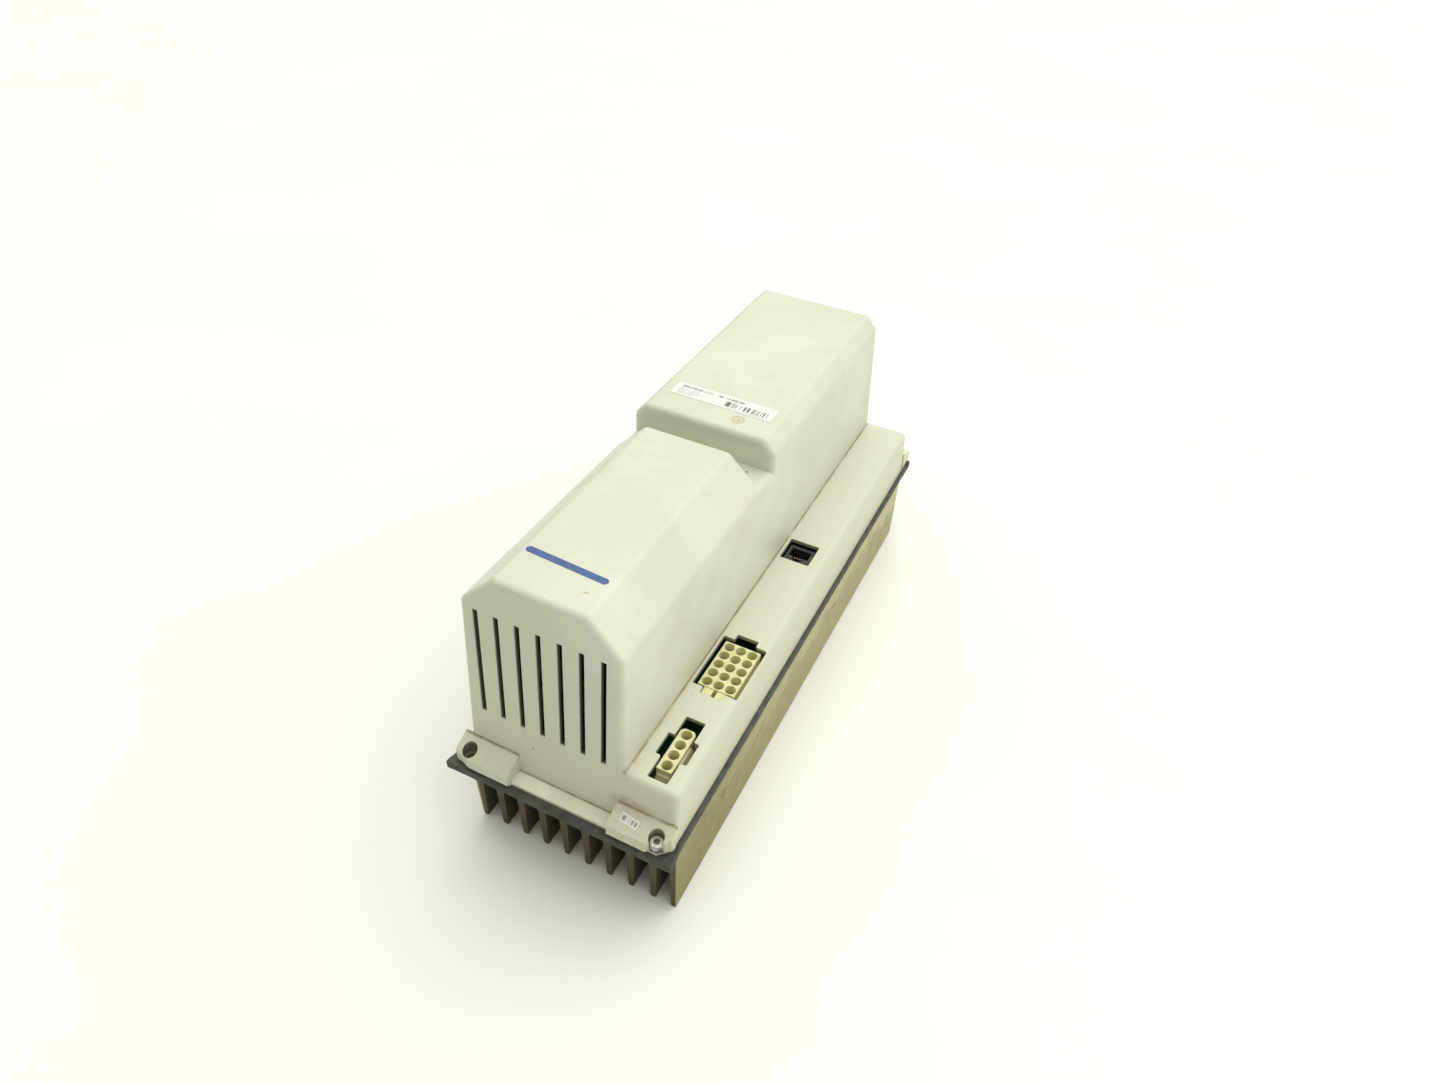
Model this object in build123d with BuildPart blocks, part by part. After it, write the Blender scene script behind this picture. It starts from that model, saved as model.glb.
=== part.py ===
"""Push-through servo drive: finned heatsink, gasket, flange plate, moulded cover and the electronics inside.

The fin tips stand on z = 0, +Z points from the fins to the cover, and -Y is the end with the intake slots.
"""

from build123d import *
import os

os.makedirs("parts", exist_ok=True)

# ---------------------------------------------------------------- driving dimensions (mm)

# Stack, from the fin tips up
sink_top = 49.5
gasket_thick = 3.5
plate_thick = 2.0
plate_z = sink_top + gasket_thick
base_z = plate_z + plate_thick
step_z = 85.5
shoulder_z = 151.0
rear_shoulder_z = 161.0
top_z = 168.5

# Gasket and flange plate
gasket_half_x = 60.0
gasket_half_y = 177.0
plate_half_x = 58.6
plate_half_y = 174.4
opening_x = 94.0
opening_front = -149.0
opening_rear = 145.0

# Heatsink extrusion
sink_left = -57.6
sink_right = 59.2
sink_front = -167.8
sink_rear = 159.0
slab_thick = 7.5
fin_count = 9
fin_pitch = 12.65
fin_root = 5.4
fin_tip = 2.8
pedestal_gap = 1.0

# Cover: wall lines at the base, and how far each leans inwards per mm of height
wall = 2.5
cover_left = -56.0
cover_right = 58.0
hump_right = 30.5
cover_front = -166.8
cover_rear = 165.0
side_lean = 0.0187
front_lean = 0.09
rear_lean = 0.13
hump_flat_left = -36.3
hump_flat_right = 11.2
hump_end = -25.2
rear_start = -7.8
rear_flat_left = -47.6
rear_flat_right = 21.9
step_r = 3.6
shoulder_r = 4.0
bevel_r = 4.0
end_r = 3.5

# Ventilation slots at both ends
slot_count = 7
slot_pitch = 10.88
slot_width = 2.8
slot_low = 87.0
slot_high = 149.0
slot_centre_x = -13.0

# Corner lugs and their screw holes
lug_inner = 27.3
lug_outer = 58.5
lug_front = 177.0
lug_back = {-1: 165.0, 1: 162.6}
lug_back_z = 66.8
lug_front_z = 61.2
screw_x = 51.5
screw_y = 172.5
screw_hole_r = 2.25
counterbore_r = 3.75
lug_floor = 2.5
# Broken outer corners of the front lugs: |x|, and how far behind the lug's front
worn_corner = [(48.0, -0.2), (51.5, 0.3), (54.3, 1.3), (lug_outer + 1, 2.4)]
broken_corner = [
    (47.6, -0.2),
    (48.6, 1.2),
    (49.6, 1.5),
    (53.2, 1.8),
    (54.8, 3.6),
    (56.4, 3.9),
    (57.4, 5.2),
    (lug_outer + 1, 6.2),
]

# Circuit boards
board_thick = 1.6
board_z = 67.2
board_top = board_z + board_thick
board_left, board_right = -51.0, 53.0
board_front, board_rear = -154.5, 148.0
control_z = 92.0
control_top = control_z + board_thick
control_left, control_right = -46.0, 22.0
control_front, control_rear = -112.0, -30.0
standoff_r = 3.0
m3_r = 1.5

# Connectors on the step
contact_pitch = 6.35
cavity_r = 2.7
row_x = 44.1
motor_centre_y = -139.7
motor_top = 84.0
signal_centre_y = -84.1
signal_top = 85.0
jack_x, jack_y = 40.9, 13.5
jack_top = 82.8

# Capacitors in the rear block
cap_r = 17.5
cap_height = 90.0
cap_x = [-31.5, 6.0]
cap_y = [15.0, 53.0, 91.0, 129.0]

# Internal fan behind the intake slots
fan_size = 60.0
fan_depth = 25.0
fan_front = -153.0
fan_rear = fan_front + fan_depth
fan_x, fan_z = -13.0, 118.0
fan_bore_r = 28.5
blade_r = 27.3
hub_r = 13.0
bearing_r = 4.0
shaft_r = 1.5
blade_count = 7
fan_screw_pitch = 50.0

# Power modules on the pedestal
pad_thick = 0.5
module_x, module_y = -9.0, 30.0
module_wide, module_long = 46.0, 84.0
bridge_y = -72.0
bridge_size = 34.0


def save(piece, name):
    """Label a finished piece and write it to its own STEP file."""
    piece.part.label = name
    export_step(piece.part, "parts/" + name + ".step")


def left_x(z):
    return cover_left + side_lean * (z - base_z)


def hump_x(z):
    return hump_right - side_lean * (z - base_z)


def step_x(z):
    return cover_right - side_lean * (z - base_z)


def front_y(z):
    return cover_front + front_lean * (z - base_z)


def rear_y(z):
    return cover_rear - rear_lean * (z - base_z)


def corner_places(x, y):
    """The four points (+-x, +-y)."""
    return [(sx * x, sy * y) for sx in (-1, 1) for sy in (-1, 1)]


# ---------------------------------------------------------------- heatsink, gasket and flange plate

module_tab = 7.0
module_tab_thick = 4.0
bridge_thick = 8.0
module_screw_x = [module_x - 14.0, module_x + 14.0]
module_screw_y = [module_y - (module_long + module_tab) / 2, module_y + (module_long + module_tab) / 2]
module_screw_places = [(x, y) for x in module_screw_x for y in module_screw_y]
bridge_screw_place = (module_x, bridge_y)
module_screw_grip = 7.0

base_screw_places = [(x, y) for x in (-50.5, 51.5) for y in (-125.0, -30.0, 30.0, 125.0)]
fin_centres = [sink_left + fin_root / 2 + fin_pitch * n for n in range(fin_count)]
cover_screw_x = [(fin_centres[n] + fin_centres[n + 1]) / 2 for n in (1, 5)]
cover_screw_places = [(x, y) for x in cover_screw_x for y in (-159.5, 153.0)]
cover_screw_hole_r = 1.7

with BuildPart() as heatsink:
    with BuildSketch(Plane.XZ.offset(-sink_rear)):
        with BuildLine():
            Polyline(
                (sink_left, sink_top - slab_thick),
                (sink_left, sink_top),
                (sink_right, sink_top),
                (sink_right, sink_top - slab_thick),
                close=True,
            )
        make_face()
        # Inner fins taper from root to tip; the right-hand one is a flat outer wall.
        for centre in fin_centres:
            with BuildLine():
                Polyline(
                    (centre - fin_root / 2, sink_top - slab_thick),
                    (centre - fin_tip / 2, 0),
                    (centre + fin_tip / 2, 0),
                    (centre + fin_root / 2, sink_top - slab_thick),
                    close=True,
                )
            make_face()
        with BuildLine():
            Polyline(
                (sink_right - fin_root / 2 - 1.3, sink_top - slab_thick),
                (sink_right - fin_tip, 0),
                (sink_right, 0),
                (sink_right, sink_top - slab_thick),
                close=True,
            )
        make_face()
    extrude(amount=sink_rear - sink_front)
    tip_edges = heatsink.edges().filter_by(Axis.Y).group_by(Axis.Z)[0]
    fillet(tip_edges, radius=0.9)
    with BuildSketch(Plane.XY.offset(sink_top)):
        with Locations((0, (opening_front + opening_rear) / 2)):
            Rectangle(opening_x - 2 * pedestal_gap, opening_rear - opening_front - 2 * pedestal_gap)
    extrude(amount=base_z - sink_top)
    with BuildSketch(Plane.XY.offset(sink_top - slab_thick)):
        with Locations(*base_screw_places):
            Circle(m3_r)
        with Locations(*cover_screw_places):
            Circle(cover_screw_hole_r)
    extrude(amount=slab_thick, mode=Mode.SUBTRACT)
    with BuildSketch(Plane.XY.offset(base_z)):
        with Locations(*module_screw_places, bridge_screw_place):
            Circle(m3_r)
    extrude(amount=-module_screw_grip - 0.5, mode=Mode.SUBTRACT)
save(heatsink, "heatsink")


def ring_sheet(half_x, half_y, low, thick, corner_radius=0, corner_cut=0, setback=0):
    """A flat frame around the pedestal, with the stack's screw holes; its ends step back between the lugs."""
    with BuildPart() as sheet:
        with BuildSketch(Plane.XY.offset(low)) as outline:
            Rectangle(2 * half_x, 2 * half_y)
            if corner_radius:
                fillet(outline.vertices(), radius=corner_radius)
            if corner_cut:
                chamfer(outline.vertices(), length=corner_cut)
            with Locations((0, (opening_front + opening_rear) / 2)):
                Rectangle(opening_x, opening_rear - opening_front, mode=Mode.SUBTRACT)
            with Locations(*corner_places(screw_x, screw_y)):
                Circle(screw_hole_r, mode=Mode.SUBTRACT)
            with Locations(*base_screw_places):
                Circle(m3_r + 0.2, mode=Mode.SUBTRACT)
            with Locations(*cover_screw_places):
                Circle(cover_screw_hole_r, mode=Mode.SUBTRACT)
            if setback:
                with Locations((0, half_y), (0, -half_y)):
                    Rectangle(2 * lug_inner, 2 * setback, mode=Mode.SUBTRACT)
        extrude(amount=thick)
    return sheet


gasket = ring_sheet(gasket_half_x, gasket_half_y, sink_top, gasket_thick, corner_radius=2.0)
save(gasket, "gasket")

plate_setback = 0.8
flange_plate = ring_sheet(
    plate_half_x, plate_half_y + plate_setback, plate_z, plate_thick, corner_cut=6.0, setback=plate_setback
)
save(flange_plate, "flange_plate")


def screw_group(places, seat_z, length, shank_r, head_r, head_high, way=1):
    """Pan-head screws with a cross recess; way is 1 with the head on top and -1 with it below."""
    seat = Plane((0, 0, seat_z), x_dir=(1, 0, 0), z_dir=(0, 0, way))
    with BuildPart() as group:
        with BuildSketch(seat):
            with Locations(*[(x, way * y) for x, y in places]):
                Circle(head_r)
        extrude(amount=head_high)
        rims = group.edges().filter_by(GeomType.CIRCLE).group_by(Axis.Z)[-1 if way > 0 else 0]
        fillet(rims, radius=0.45 * head_high)
        with BuildSketch(seat.offset(head_high)):
            with Locations(*[(x, way * y) for x, y in places]):
                Rectangle(1.1 * head_r, 0.28 * head_r)
                Rectangle(0.28 * head_r, 1.1 * head_r)
        extrude(amount=-0.45 * head_high, mode=Mode.SUBTRACT)
        with BuildSketch(seat):
            with Locations(*[(x, way * y) for x, y in places]):
                Circle(shank_r)
        extrude(amount=-length)
    return group


base_screws = screw_group(base_screw_places, base_z, base_z - sink_top + slab_thick - 0.4, m3_r, 2.8, 1.9)
save(base_screws, "base_screws")

boss_r = 4.0
boss_high = 20.0
boss_grip = 12.0
boss_bore_deep = boss_grip + 1.0
cover_screw_length = slab_thick + gasket_thick + plate_thick + boss_grip
cover_screws = screw_group(
    cover_screw_places, sink_top - slab_thick, cover_screw_length, cover_screw_hole_r, 3.0, 2.2, way=-1
)
save(cover_screws, "cover_screws")

# ---------------------------------------------------------------- cover


def run_along_y(points, y_low, y_high, inset, radius=0):
    """Extrude an outline of (x, z) points along Y, drawn in by the inset, with its upper corners rounded."""
    with BuildSketch(Plane.XZ.offset(-y_high)) as outline:
        with BuildLine():
            Polyline(*points, close=True)
        make_face()
        if inset:
            offset(amount=-inset, kind=Kind.INTERSECTION)
        elif radius:
            fillet(outline.vertices().filter_by(lambda corner: corner.Y > base_z + 1), radius=radius)
    extrude(outline.sketch, amount=y_high - y_low)


def envelope(inset):
    """The cover's outer volume, or with an inset the volume inside its walls."""
    low = base_z - inset
    far = 200.0
    with BuildPart() as volume:
        step = [(left_x(low), low), (left_x(step_z), step_z), (step_x(step_z), step_z), (step_x(low), low)]
        run_along_y(step, -far, far, inset, step_r)
        valley = [(left_x(low), low), (left_x(shoulder_z), shoulder_z)]
        valley += [(hump_x(shoulder_z), shoulder_z), (hump_x(low), low)]
        run_along_y(valley, hump_end - 5, rear_start + 5, inset, shoulder_r)
        hump = [(left_x(low), low), (left_x(shoulder_z), shoulder_z), (hump_flat_left, top_z)]
        hump += [(hump_flat_right, top_z), (hump_x(shoulder_z), shoulder_z), (hump_x(low), low)]
        run_along_y(hump, -far, hump_end - inset, inset, shoulder_r)
        rear = [(left_x(low), low), (left_x(rear_shoulder_z), rear_shoulder_z), (rear_flat_left, top_z)]
        rear += [(rear_flat_right, top_z), (hump_x(rear_shoulder_z), rear_shoulder_z), (hump_x(low), low)]
        run_along_y(rear, rear_start + inset, far, inset, bevel_r)
        split(
            bisect_by=Plane((0, cover_front + inset, base_z), x_dir=(1, 0, 0), z_dir=(0, -1, front_lean)),
            keep=Keep.BOTTOM,
        )
        split(
            bisect_by=Plane((0, cover_rear - inset, base_z), x_dir=(1, 0, 0), z_dir=(0, 1, rear_lean)),
            keep=Keep.BOTTOM,
        )
    return volume


def edges_in_plane(piece, origin, normal, above):
    """The edges of a piece that lie in a plane, higher than a given z."""
    plane = Plane(origin, z_dir=normal)
    flat = []
    for edge in piece.edges():
        heights = [abs(plane.to_local_coords(edge.position_at(t)).Z) for t in (0, 0.5, 1)]
        if max(heights) < 0.01 and edge.center().Z > above:
            flat.append(edge)
    return flat


def socket_cutouts():
    """The outlines that the step's top is open over, for the three sockets."""
    with BuildSketch(Plane.XY.offset(step_z + 1)) as outlines:
        # Motor connector: a long slot with a latch tab at each side.
        with Locations((row_x + 0.4, motor_centre_y - 0.6)):
            Rectangle(10.3, 38.0)
        with Locations((row_x + 0.3, motor_centre_y - 0.3)):
            Rectangle(16.2, 13.2)
        # Signal connector: a wide slot with a tab at each end.
        with Locations((row_x - 0.2, signal_centre_y + 0.6)):
            Rectangle(24.2, 35.9)
        with Locations((row_x - 0.3, signal_centre_y + 0.6)):
            Rectangle(12.0, 43.8)
        # Network jack.
        with Locations((jack_x, jack_y)):
            Rectangle(17.5, 17.8)
        fillet(outlines.vertices(), radius=0.8)
    return outlines


def slot_row(y_plane):
    """The ventilation slots, drawn on a plane of constant y."""
    with BuildSketch(Plane.XZ.offset(-y_plane)) as row:
        for n in range(slot_count):
            slot_x = slot_centre_x + slot_pitch * (n - (slot_count - 1) / 2)
            with Locations((slot_x, (slot_low + slot_high) / 2)):
                Rectangle(slot_width, slot_high - slot_low)
    return row


outer = envelope(0)
inside = envelope(wall)
outlines = socket_cutouts()

with BuildPart() as cover:
    add(outer.part)
    fillet(edges_in_plane(cover, (0, cover_front, base_z), (0, -1, front_lean), base_z + 0.5), radius=end_r)
    fillet(edges_in_plane(cover, (0, cover_rear, base_z), (0, 1, rear_lean), base_z + 0.5), radius=end_r)
    fillet(edges_in_plane(cover, (0, rear_start, 0), (0, 1, 0), rear_shoulder_z - 1.5), radius=end_r)
    add(inside.part, mode=Mode.SUBTRACT)
    # Four lugs with tops that slope down away from the end walls.
    for x_start, way in [(x, way) for x in (-lug_outer, lug_inner) for way in (-1, 1)]:
        with BuildSketch(Plane.YZ.offset(x_start)) as lug_side:
            with BuildLine():
                Polyline(
                    (way * lug_back[way], base_z),
                    (way * lug_back[way], lug_back_z),
                    (way * (lug_front - 0.3), lug_front_z),
                    (way * lug_front, base_z),
                    close=True,
                )
            make_face()
        extrude(lug_side.sketch, amount=lug_outer - lug_inner)
    # The left front lug has lost its outer corner; the right one is broken open as far as its screw.
    for way, broken_edge in ((-1, worn_corner), (1, broken_corner)):
        with BuildSketch(Plane.XY.offset(base_z)) as corner_cut:
            with BuildLine():
                Polyline(
                    *[(way * x, -lug_front + y) for x, y in broken_edge],
                    (way * (lug_outer + 1), -lug_front - 1),
                    (way * broken_edge[0][0], -lug_front - 1),
                    close=True,
                )
            make_face()
        extrude(corner_cut.sketch, amount=20, mode=Mode.SUBTRACT)
    # Screw holes with counterbores open at the top.
    with Locations(*[(x, y, lug_back_z + 2) for x, y in corner_places(screw_x, screw_y)]):
        CounterBoreHole(
            radius=screw_hole_r,
            counter_bore_radius=counterbore_r,
            counter_bore_depth=lug_back_z + 2 - base_z - lug_floor,
            depth=lug_back_z + 2 - base_z,
        )
    # Socket cut-outs, then the slots through both end walls.
    extrude(outlines.sketch, amount=-2 - wall, mode=Mode.SUBTRACT)
    for y_plane in (cover_front - 2, cover_rear - 20):
        row = slot_row(y_plane)
        extrude(row.sketch, amount=-22, mode=Mode.SUBTRACT)
    # Bosses for the cover screws, each tied to the end wall by a rib.
    with BuildSketch(Plane.XY.offset(base_z)) as bosses:
        with Locations(*cover_screw_places):
            Circle(boss_r)
        for x, y in cover_screw_places:
            way = 1 if y > 0 else -1
            end = rear_y(base_z + boss_high) if y > 0 else front_y(base_z + boss_high)
            with Locations((x, (y + end - way * 0.5) / 2)):
                Rectangle(2.4, abs(end - way * 0.5 - y))
    extrude(bosses.sketch, amount=boss_high)
    with BuildSketch(Plane.XY.offset(base_z)) as boss_bores:
        with Locations(*cover_screw_places):
            Circle(cover_screw_hole_r)
    extrude(boss_bores.sketch, amount=boss_bore_deep, mode=Mode.SUBTRACT)
save(cover, "cover")

# ---------------------------------------------------------------- boards

board_hole_r = 1.7
main_standoffs = [(x, y) for x in (-46.5, 27.0) for y in (-140.0, -5.0, 110.0)]
side_standoffs = [(49.5, y) for y in (-113.0, -55.0, 60.0, 105.0)]
main_places = main_standoffs + side_standoffs
control_columns = (control_left + 5, control_right - 5)
control_places = [(x, y) for x in control_columns for y in (control_front + 5, control_rear - 5)]


def board(left, right, front, rear, low, holes):
    """A circuit board with drilled fixing holes."""
    with BuildPart() as sheet:
        with BuildSketch(Plane.XY.offset(low)):
            with Locations(((left + right) / 2, (front + rear) / 2)):
                RectangleRounded(right - left, rear - front, 2.0)
            with Locations(*holes):
                Circle(board_hole_r, mode=Mode.SUBTRACT)
        extrude(amount=board_thick)
    return sheet


def hex_standoffs(places, low, high):
    """Hexagonal spacers with a through bore for the screw above."""
    with BuildPart() as group:
        with BuildSketch(Plane.XY.offset(low)):
            with Locations(*places):
                RegularPolygon(standoff_r, 6)
                Circle(m3_r, mode=Mode.SUBTRACT)
        extrude(amount=high - low)
    return group


power_board = board(board_left, board_right, board_front, board_rear, board_z, main_places)
save(power_board, "power_board")
power_board_standoffs = hex_standoffs(main_places, base_z, board_z)
save(power_board_standoffs, "power_board_standoffs")
power_board_screws = screw_group(main_places, board_top, 9.0, m3_r, 2.8, 1.9)
save(power_board_screws, "power_board_screws")

control_board = board(control_left, control_right, control_front, control_rear, control_z, control_places)
save(control_board, "control_board")
control_board_standoffs = hex_standoffs(control_places, board_top, control_z)
save(control_board_standoffs, "control_board_standoffs")
control_board_screws = screw_group(control_places, control_top, 8.0, m3_r, 2.8, 1.9)
save(control_board_screws, "control_board_screws")

with BuildPart() as control_chips:
    with BuildSketch(Plane.XY.offset(control_top)):
        with Locations((-12, -72)):
            Rectangle(24, 24)
        with Locations((10, -86), (10, -60), (-34, -60)):
            Rectangle(8, 18)
        with Locations((-34, -86)):
            Rectangle(12, 12)
    extrude(amount=2.0)
    chamfer(control_chips.edges().group_by(Axis.Z)[-1], length=0.4)
save(control_chips, "control_chips")

with BuildPart() as board_link:
    with BuildSketch(Plane.XY.offset(board_top)):
        with Locations((-2, -40)):
            Rectangle(22, 5.2)
    extrude(amount=control_z - board_top)
    chamfer(board_link.edges().filter_by(Axis.Z), length=0.6)
save(board_link, "board_link")

# ---------------------------------------------------------------- power modules on the pedestal

module_low = base_z + pad_thick

with BuildPart() as thermal_pads:
    with BuildSketch(Plane.XY.offset(base_z)):
        with Locations((module_x, module_y)):
            Rectangle(module_wide, module_long + 2 * module_tab)
        with Locations((module_x, bridge_y)):
            Rectangle(bridge_size, bridge_size)
        with Locations(*module_screw_places, bridge_screw_place):
            Circle(2.2, mode=Mode.SUBTRACT)
    extrude(amount=pad_thick)
save(thermal_pads, "thermal_pads")

with BuildPart() as inverter_module:
    with BuildSketch(Plane.XY.offset(module_low)):
        with Locations((module_x, module_y)):
            Rectangle(module_wide, module_long + 2 * module_tab)
        with Locations(*module_screw_places):
            Circle(1.7, mode=Mode.SUBTRACT)
    extrude(amount=module_tab_thick)
    with BuildSketch(Plane.XY.offset(module_low)):
        with Locations((module_x, module_y)):
            Rectangle(module_wide - 4, module_long)
    extrude(amount=board_z - module_low)
    fillet(inverter_module.edges().filter_by(Axis.Z), radius=1.0)
    chamfer(inverter_module.edges().group_by(Axis.Z)[-1], length=0.8)
save(inverter_module, "inverter_module")

with BuildPart() as rectifier_bridge:
    with BuildSketch(Plane.XY.offset(module_low)):
        with Locations((module_x, bridge_y)):
            Rectangle(bridge_size, bridge_size)
            Circle(1.7, mode=Mode.SUBTRACT)
    extrude(amount=bridge_thick)
    chamfer(rectifier_bridge.edges().filter_by(Axis.Z).sort_by(Axis.X)[-2:], length=3.0)
save(rectifier_bridge, "rectifier_bridge")

module_screw_length = module_tab_thick + pad_thick + module_screw_grip
module_screws = screw_group(
    module_screw_places, module_low + module_tab_thick, module_screw_length, m3_r, 2.8, 1.9
)
save(module_screws, "module_screws")

bridge_screw_length = bridge_thick + pad_thick + module_screw_grip
bridge_screw = screw_group(
    [bridge_screw_place], module_low + bridge_thick, bridge_screw_length, m3_r, 2.8, 1.9
)
save(bridge_screw, "bridge_screw")

# ---------------------------------------------------------------- parts on the power board

with BuildPart() as link_capacitors:
    for x in cap_x:
        for y in cap_y:
            with BuildSketch(Plane.XY.offset(board_top)):
                with Locations((x, y)):
                    Circle(cap_r)
            extrude(amount=cap_height)
    fillet(link_capacitors.edges().filter_by(GeomType.CIRCLE), radius=1.2)
    with BuildSketch(Plane.XY.offset(board_top + cap_height)):
        for x in cap_x:
            for y in cap_y:
                with Locations((x, y)):
                    Rectangle(0.8, 1.3 * cap_r)
                    Rectangle(1.3 * cap_r, 0.8)
    extrude(amount=-0.6, mode=Mode.SUBTRACT)
save(link_capacitors, "link_capacitors")

choke_x, choke_y = -22.0, -88.0
choke_r, choke_bore_r, choke_high = 18.0, 9.0, 13.0
choke_low = board_top + 2.0
turn_wire = 1.6

with BuildPart() as choke_core:
    with BuildSketch(Plane.XY.offset(choke_low)):
        with Locations((choke_x, choke_y)):
            Circle(choke_r)
            Circle(choke_bore_r, mode=Mode.SUBTRACT)
    extrude(amount=choke_high)
    fillet(choke_core.edges().filter_by(GeomType.CIRCLE), radius=1.2)
save(choke_core, "choke_core")

with BuildPart() as choke_windings:
    for turn in range(14):
        angle = 30 + turn * 20 if turn < 7 else 210 + (turn - 7) * 20
        spot = Plane((choke_x, choke_y, choke_low + choke_high / 2)).rotated((0, 0, angle))
        upright = Plane(spot.origin, x_dir=spot.x_dir, z_dir=spot.y_dir)
        mid_r = (choke_r + choke_bore_r) / 2
        with BuildSketch(upright.offset(-turn_wire / 2)) as turn_side:
            with Locations((mid_r, 0)):
                Rectangle(choke_r - choke_bore_r + 2 * turn_wire, choke_high + 2 * turn_wire)
                Rectangle(choke_r - choke_bore_r + 0.2, choke_high + 0.1, mode=Mode.SUBTRACT)
        extrude(turn_side.sketch, amount=turn_wire)
save(choke_windings, "choke_windings")

transformer_x, transformer_y = -33.0, -52.0
with BuildPart() as transformer_core:
    with BuildSketch(Plane.XZ.offset(-transformer_y - 6)):
        with Locations((transformer_x, board_top + 10)):
            Rectangle(26, 18)
        with Locations((transformer_x - 7.5, board_top + 10), (transformer_x + 7.5, board_top + 10)):
            Rectangle(6, 11, mode=Mode.SUBTRACT)
    extrude(amount=12)
save(transformer_core, "transformer_core")

with BuildPart() as transformer_winding:
    with BuildSketch(Plane.XY.offset(board_top + 4.7)):
        with Locations((transformer_x, transformer_y)):
            RectangleRounded(20.6, 23.6, 2.0)
            Rectangle(9.2, 12.2, mode=Mode.SUBTRACT)
    extrude(amount=10.6)
save(transformer_winding, "transformer_winding")

with BuildPart() as charging_relay:
    with BuildSketch(Plane.XY.offset(board_top)):
        with Locations((12.0, -84.0)):
            Rectangle(13, 29)
    extrude(amount=16)
    fillet(charging_relay.edges().filter_by(Axis.Z) + charging_relay.edges().group_by(Axis.Z)[-1], radius=0.8)
save(charging_relay, "charging_relay")

with BuildPart() as current_sensors:
    with BuildSketch(Plane.XY.offset(board_top)):
        with Locations((12, -141), (-9, -141)):
            Rectangle(13, 16)
    extrude(amount=15)
    chamfer(current_sensors.edges().group_by(Axis.Z)[-1], length=0.6)
    with BuildSketch(Plane.XZ.offset(149.5)):
        with Locations((12, board_top + 8), (-9, board_top + 8)):
            Circle(3.0)
    extrude(amount=-17, mode=Mode.SUBTRACT)
save(current_sensors, "current_sensors")

# ---------------------------------------------------------------- connectors


def contact_places(columns, rows, centre_y):
    """Contact centres of a grid of columns along X and rows along Y."""
    return [
        (row_x + contact_pitch * (c - (columns - 1) / 2), centre_y + contact_pitch * (r - (rows - 1) / 2))
        for c in range(columns)
        for r in range(rows)
    ]


def contact_group(places, top):
    """Round pins with rounded tips, standing on the board."""
    with BuildPart() as group:
        with BuildSketch(Plane.XY.offset(board_top)):
            with Locations(*places):
                Circle(1.05)
        extrude(amount=top - board_top)
        fillet(group.edges().filter_by(GeomType.CIRCLE).group_by(Axis.Z)[-1], radius=0.8)
    return group


motor_places = contact_places(1, 4, motor_centre_y)
signal_places = contact_places(3, 5, signal_centre_y)
cavity_floor = board_top + 3.0

with BuildPart() as motor_connector:
    with BuildSketch(Plane.XY.offset(board_top)):
        with Locations((row_x, motor_centre_y)):
            Rectangle(9.6, 27.4)
    extrude(amount=4.0)
    with BuildSketch(Plane.XY.offset(board_top)):
        with Locations((row_x, motor_centre_y)):
            Rectangle(7.8, 25.4)
    extrude(amount=motor_top - board_top)
    # The far end has cut corners, so that the plug goes on one way only.
    body_corners = motor_connector.edges().filter_by(Axis.Z).filter_by_position(Axis.Z, 75, 82)
    chamfer(body_corners.group_by(Axis.Y)[-1], length=1.5)
    # A stop at the near end and a latch ramp on the right.
    with BuildSketch(Plane.YZ.offset(row_x - 3.4)):
        with BuildLine():
            near = motor_centre_y - 12.7
            Polyline(
                (near, board_top),
                (near - 6.0, board_top + 6),
                (near - 6.0, board_top + 8.5),
                (near, board_top + 11.5),
                close=True,
            )
        make_face()
    extrude(amount=6.8)
    with BuildSketch(Plane.XZ.offset(-motor_centre_y - 5.8)):
        with BuildLine():
            side = row_x + 3.9
            Polyline(
                (side, board_top),
                (side + 3.8, board_top + 5),
                (side + 3.8, board_top + 9.5),
                (side, board_top + 12.5),
                close=True,
            )
        make_face()
    extrude(amount=11.6)
    with BuildSketch(Plane.XY.offset(cavity_floor)):
        with Locations(*motor_places):
            Circle(cavity_r)
    extrude(amount=motor_top - cavity_floor, mode=Mode.SUBTRACT)
    with BuildSketch(Plane.XY.offset(board_top)):
        with Locations(*motor_places):
            Circle(1.05)
    extrude(amount=cavity_floor - board_top, mode=Mode.SUBTRACT)
save(motor_connector, "motor_connector")
motor_contacts = contact_group(motor_places, 79.0)
save(motor_contacts, "motor_contacts")

with BuildPart() as signal_connector:
    with BuildSketch(Plane.XY.offset(board_top)):
        with Locations((row_x, signal_centre_y)):
            Rectangle(21.6, 33.8)
    extrude(amount=6.0)
    with BuildSketch(Plane.XY.offset(board_top)):
        with Locations((row_x, signal_centre_y)):
            Rectangle(19.6, 31.8)
    extrude(amount=signal_top - board_top)
    # Two keys at the near end and a low ledge along the right side.
    with BuildSketch(Plane.XY.offset(board_top)):
        with Locations((row_x - 3.4, signal_centre_y - 18.2)):
            Rectangle(5.2, 4.8)
        with Locations((row_x + 3.3, signal_centre_y - 18.2)):
            Rectangle(4.2, 4.8)
    extrude(amount=signal_top - 0.6 - board_top)
    with BuildSketch(Plane.XY.offset(board_top)):
        with Locations((row_x + 10.2, signal_centre_y)):
            Rectangle(1.2, 30.0)
    extrude(amount=11.0)
    with BuildSketch(Plane.XY.offset(cavity_floor)):
        with Locations(*signal_places):
            Circle(cavity_r)
    extrude(amount=signal_top - cavity_floor, mode=Mode.SUBTRACT)
    with BuildSketch(Plane.XY.offset(board_top)):
        with Locations(*signal_places):
            Circle(1.05)
    extrude(amount=cavity_floor - board_top, mode=Mode.SUBTRACT)
save(signal_connector, "signal_connector")
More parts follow.
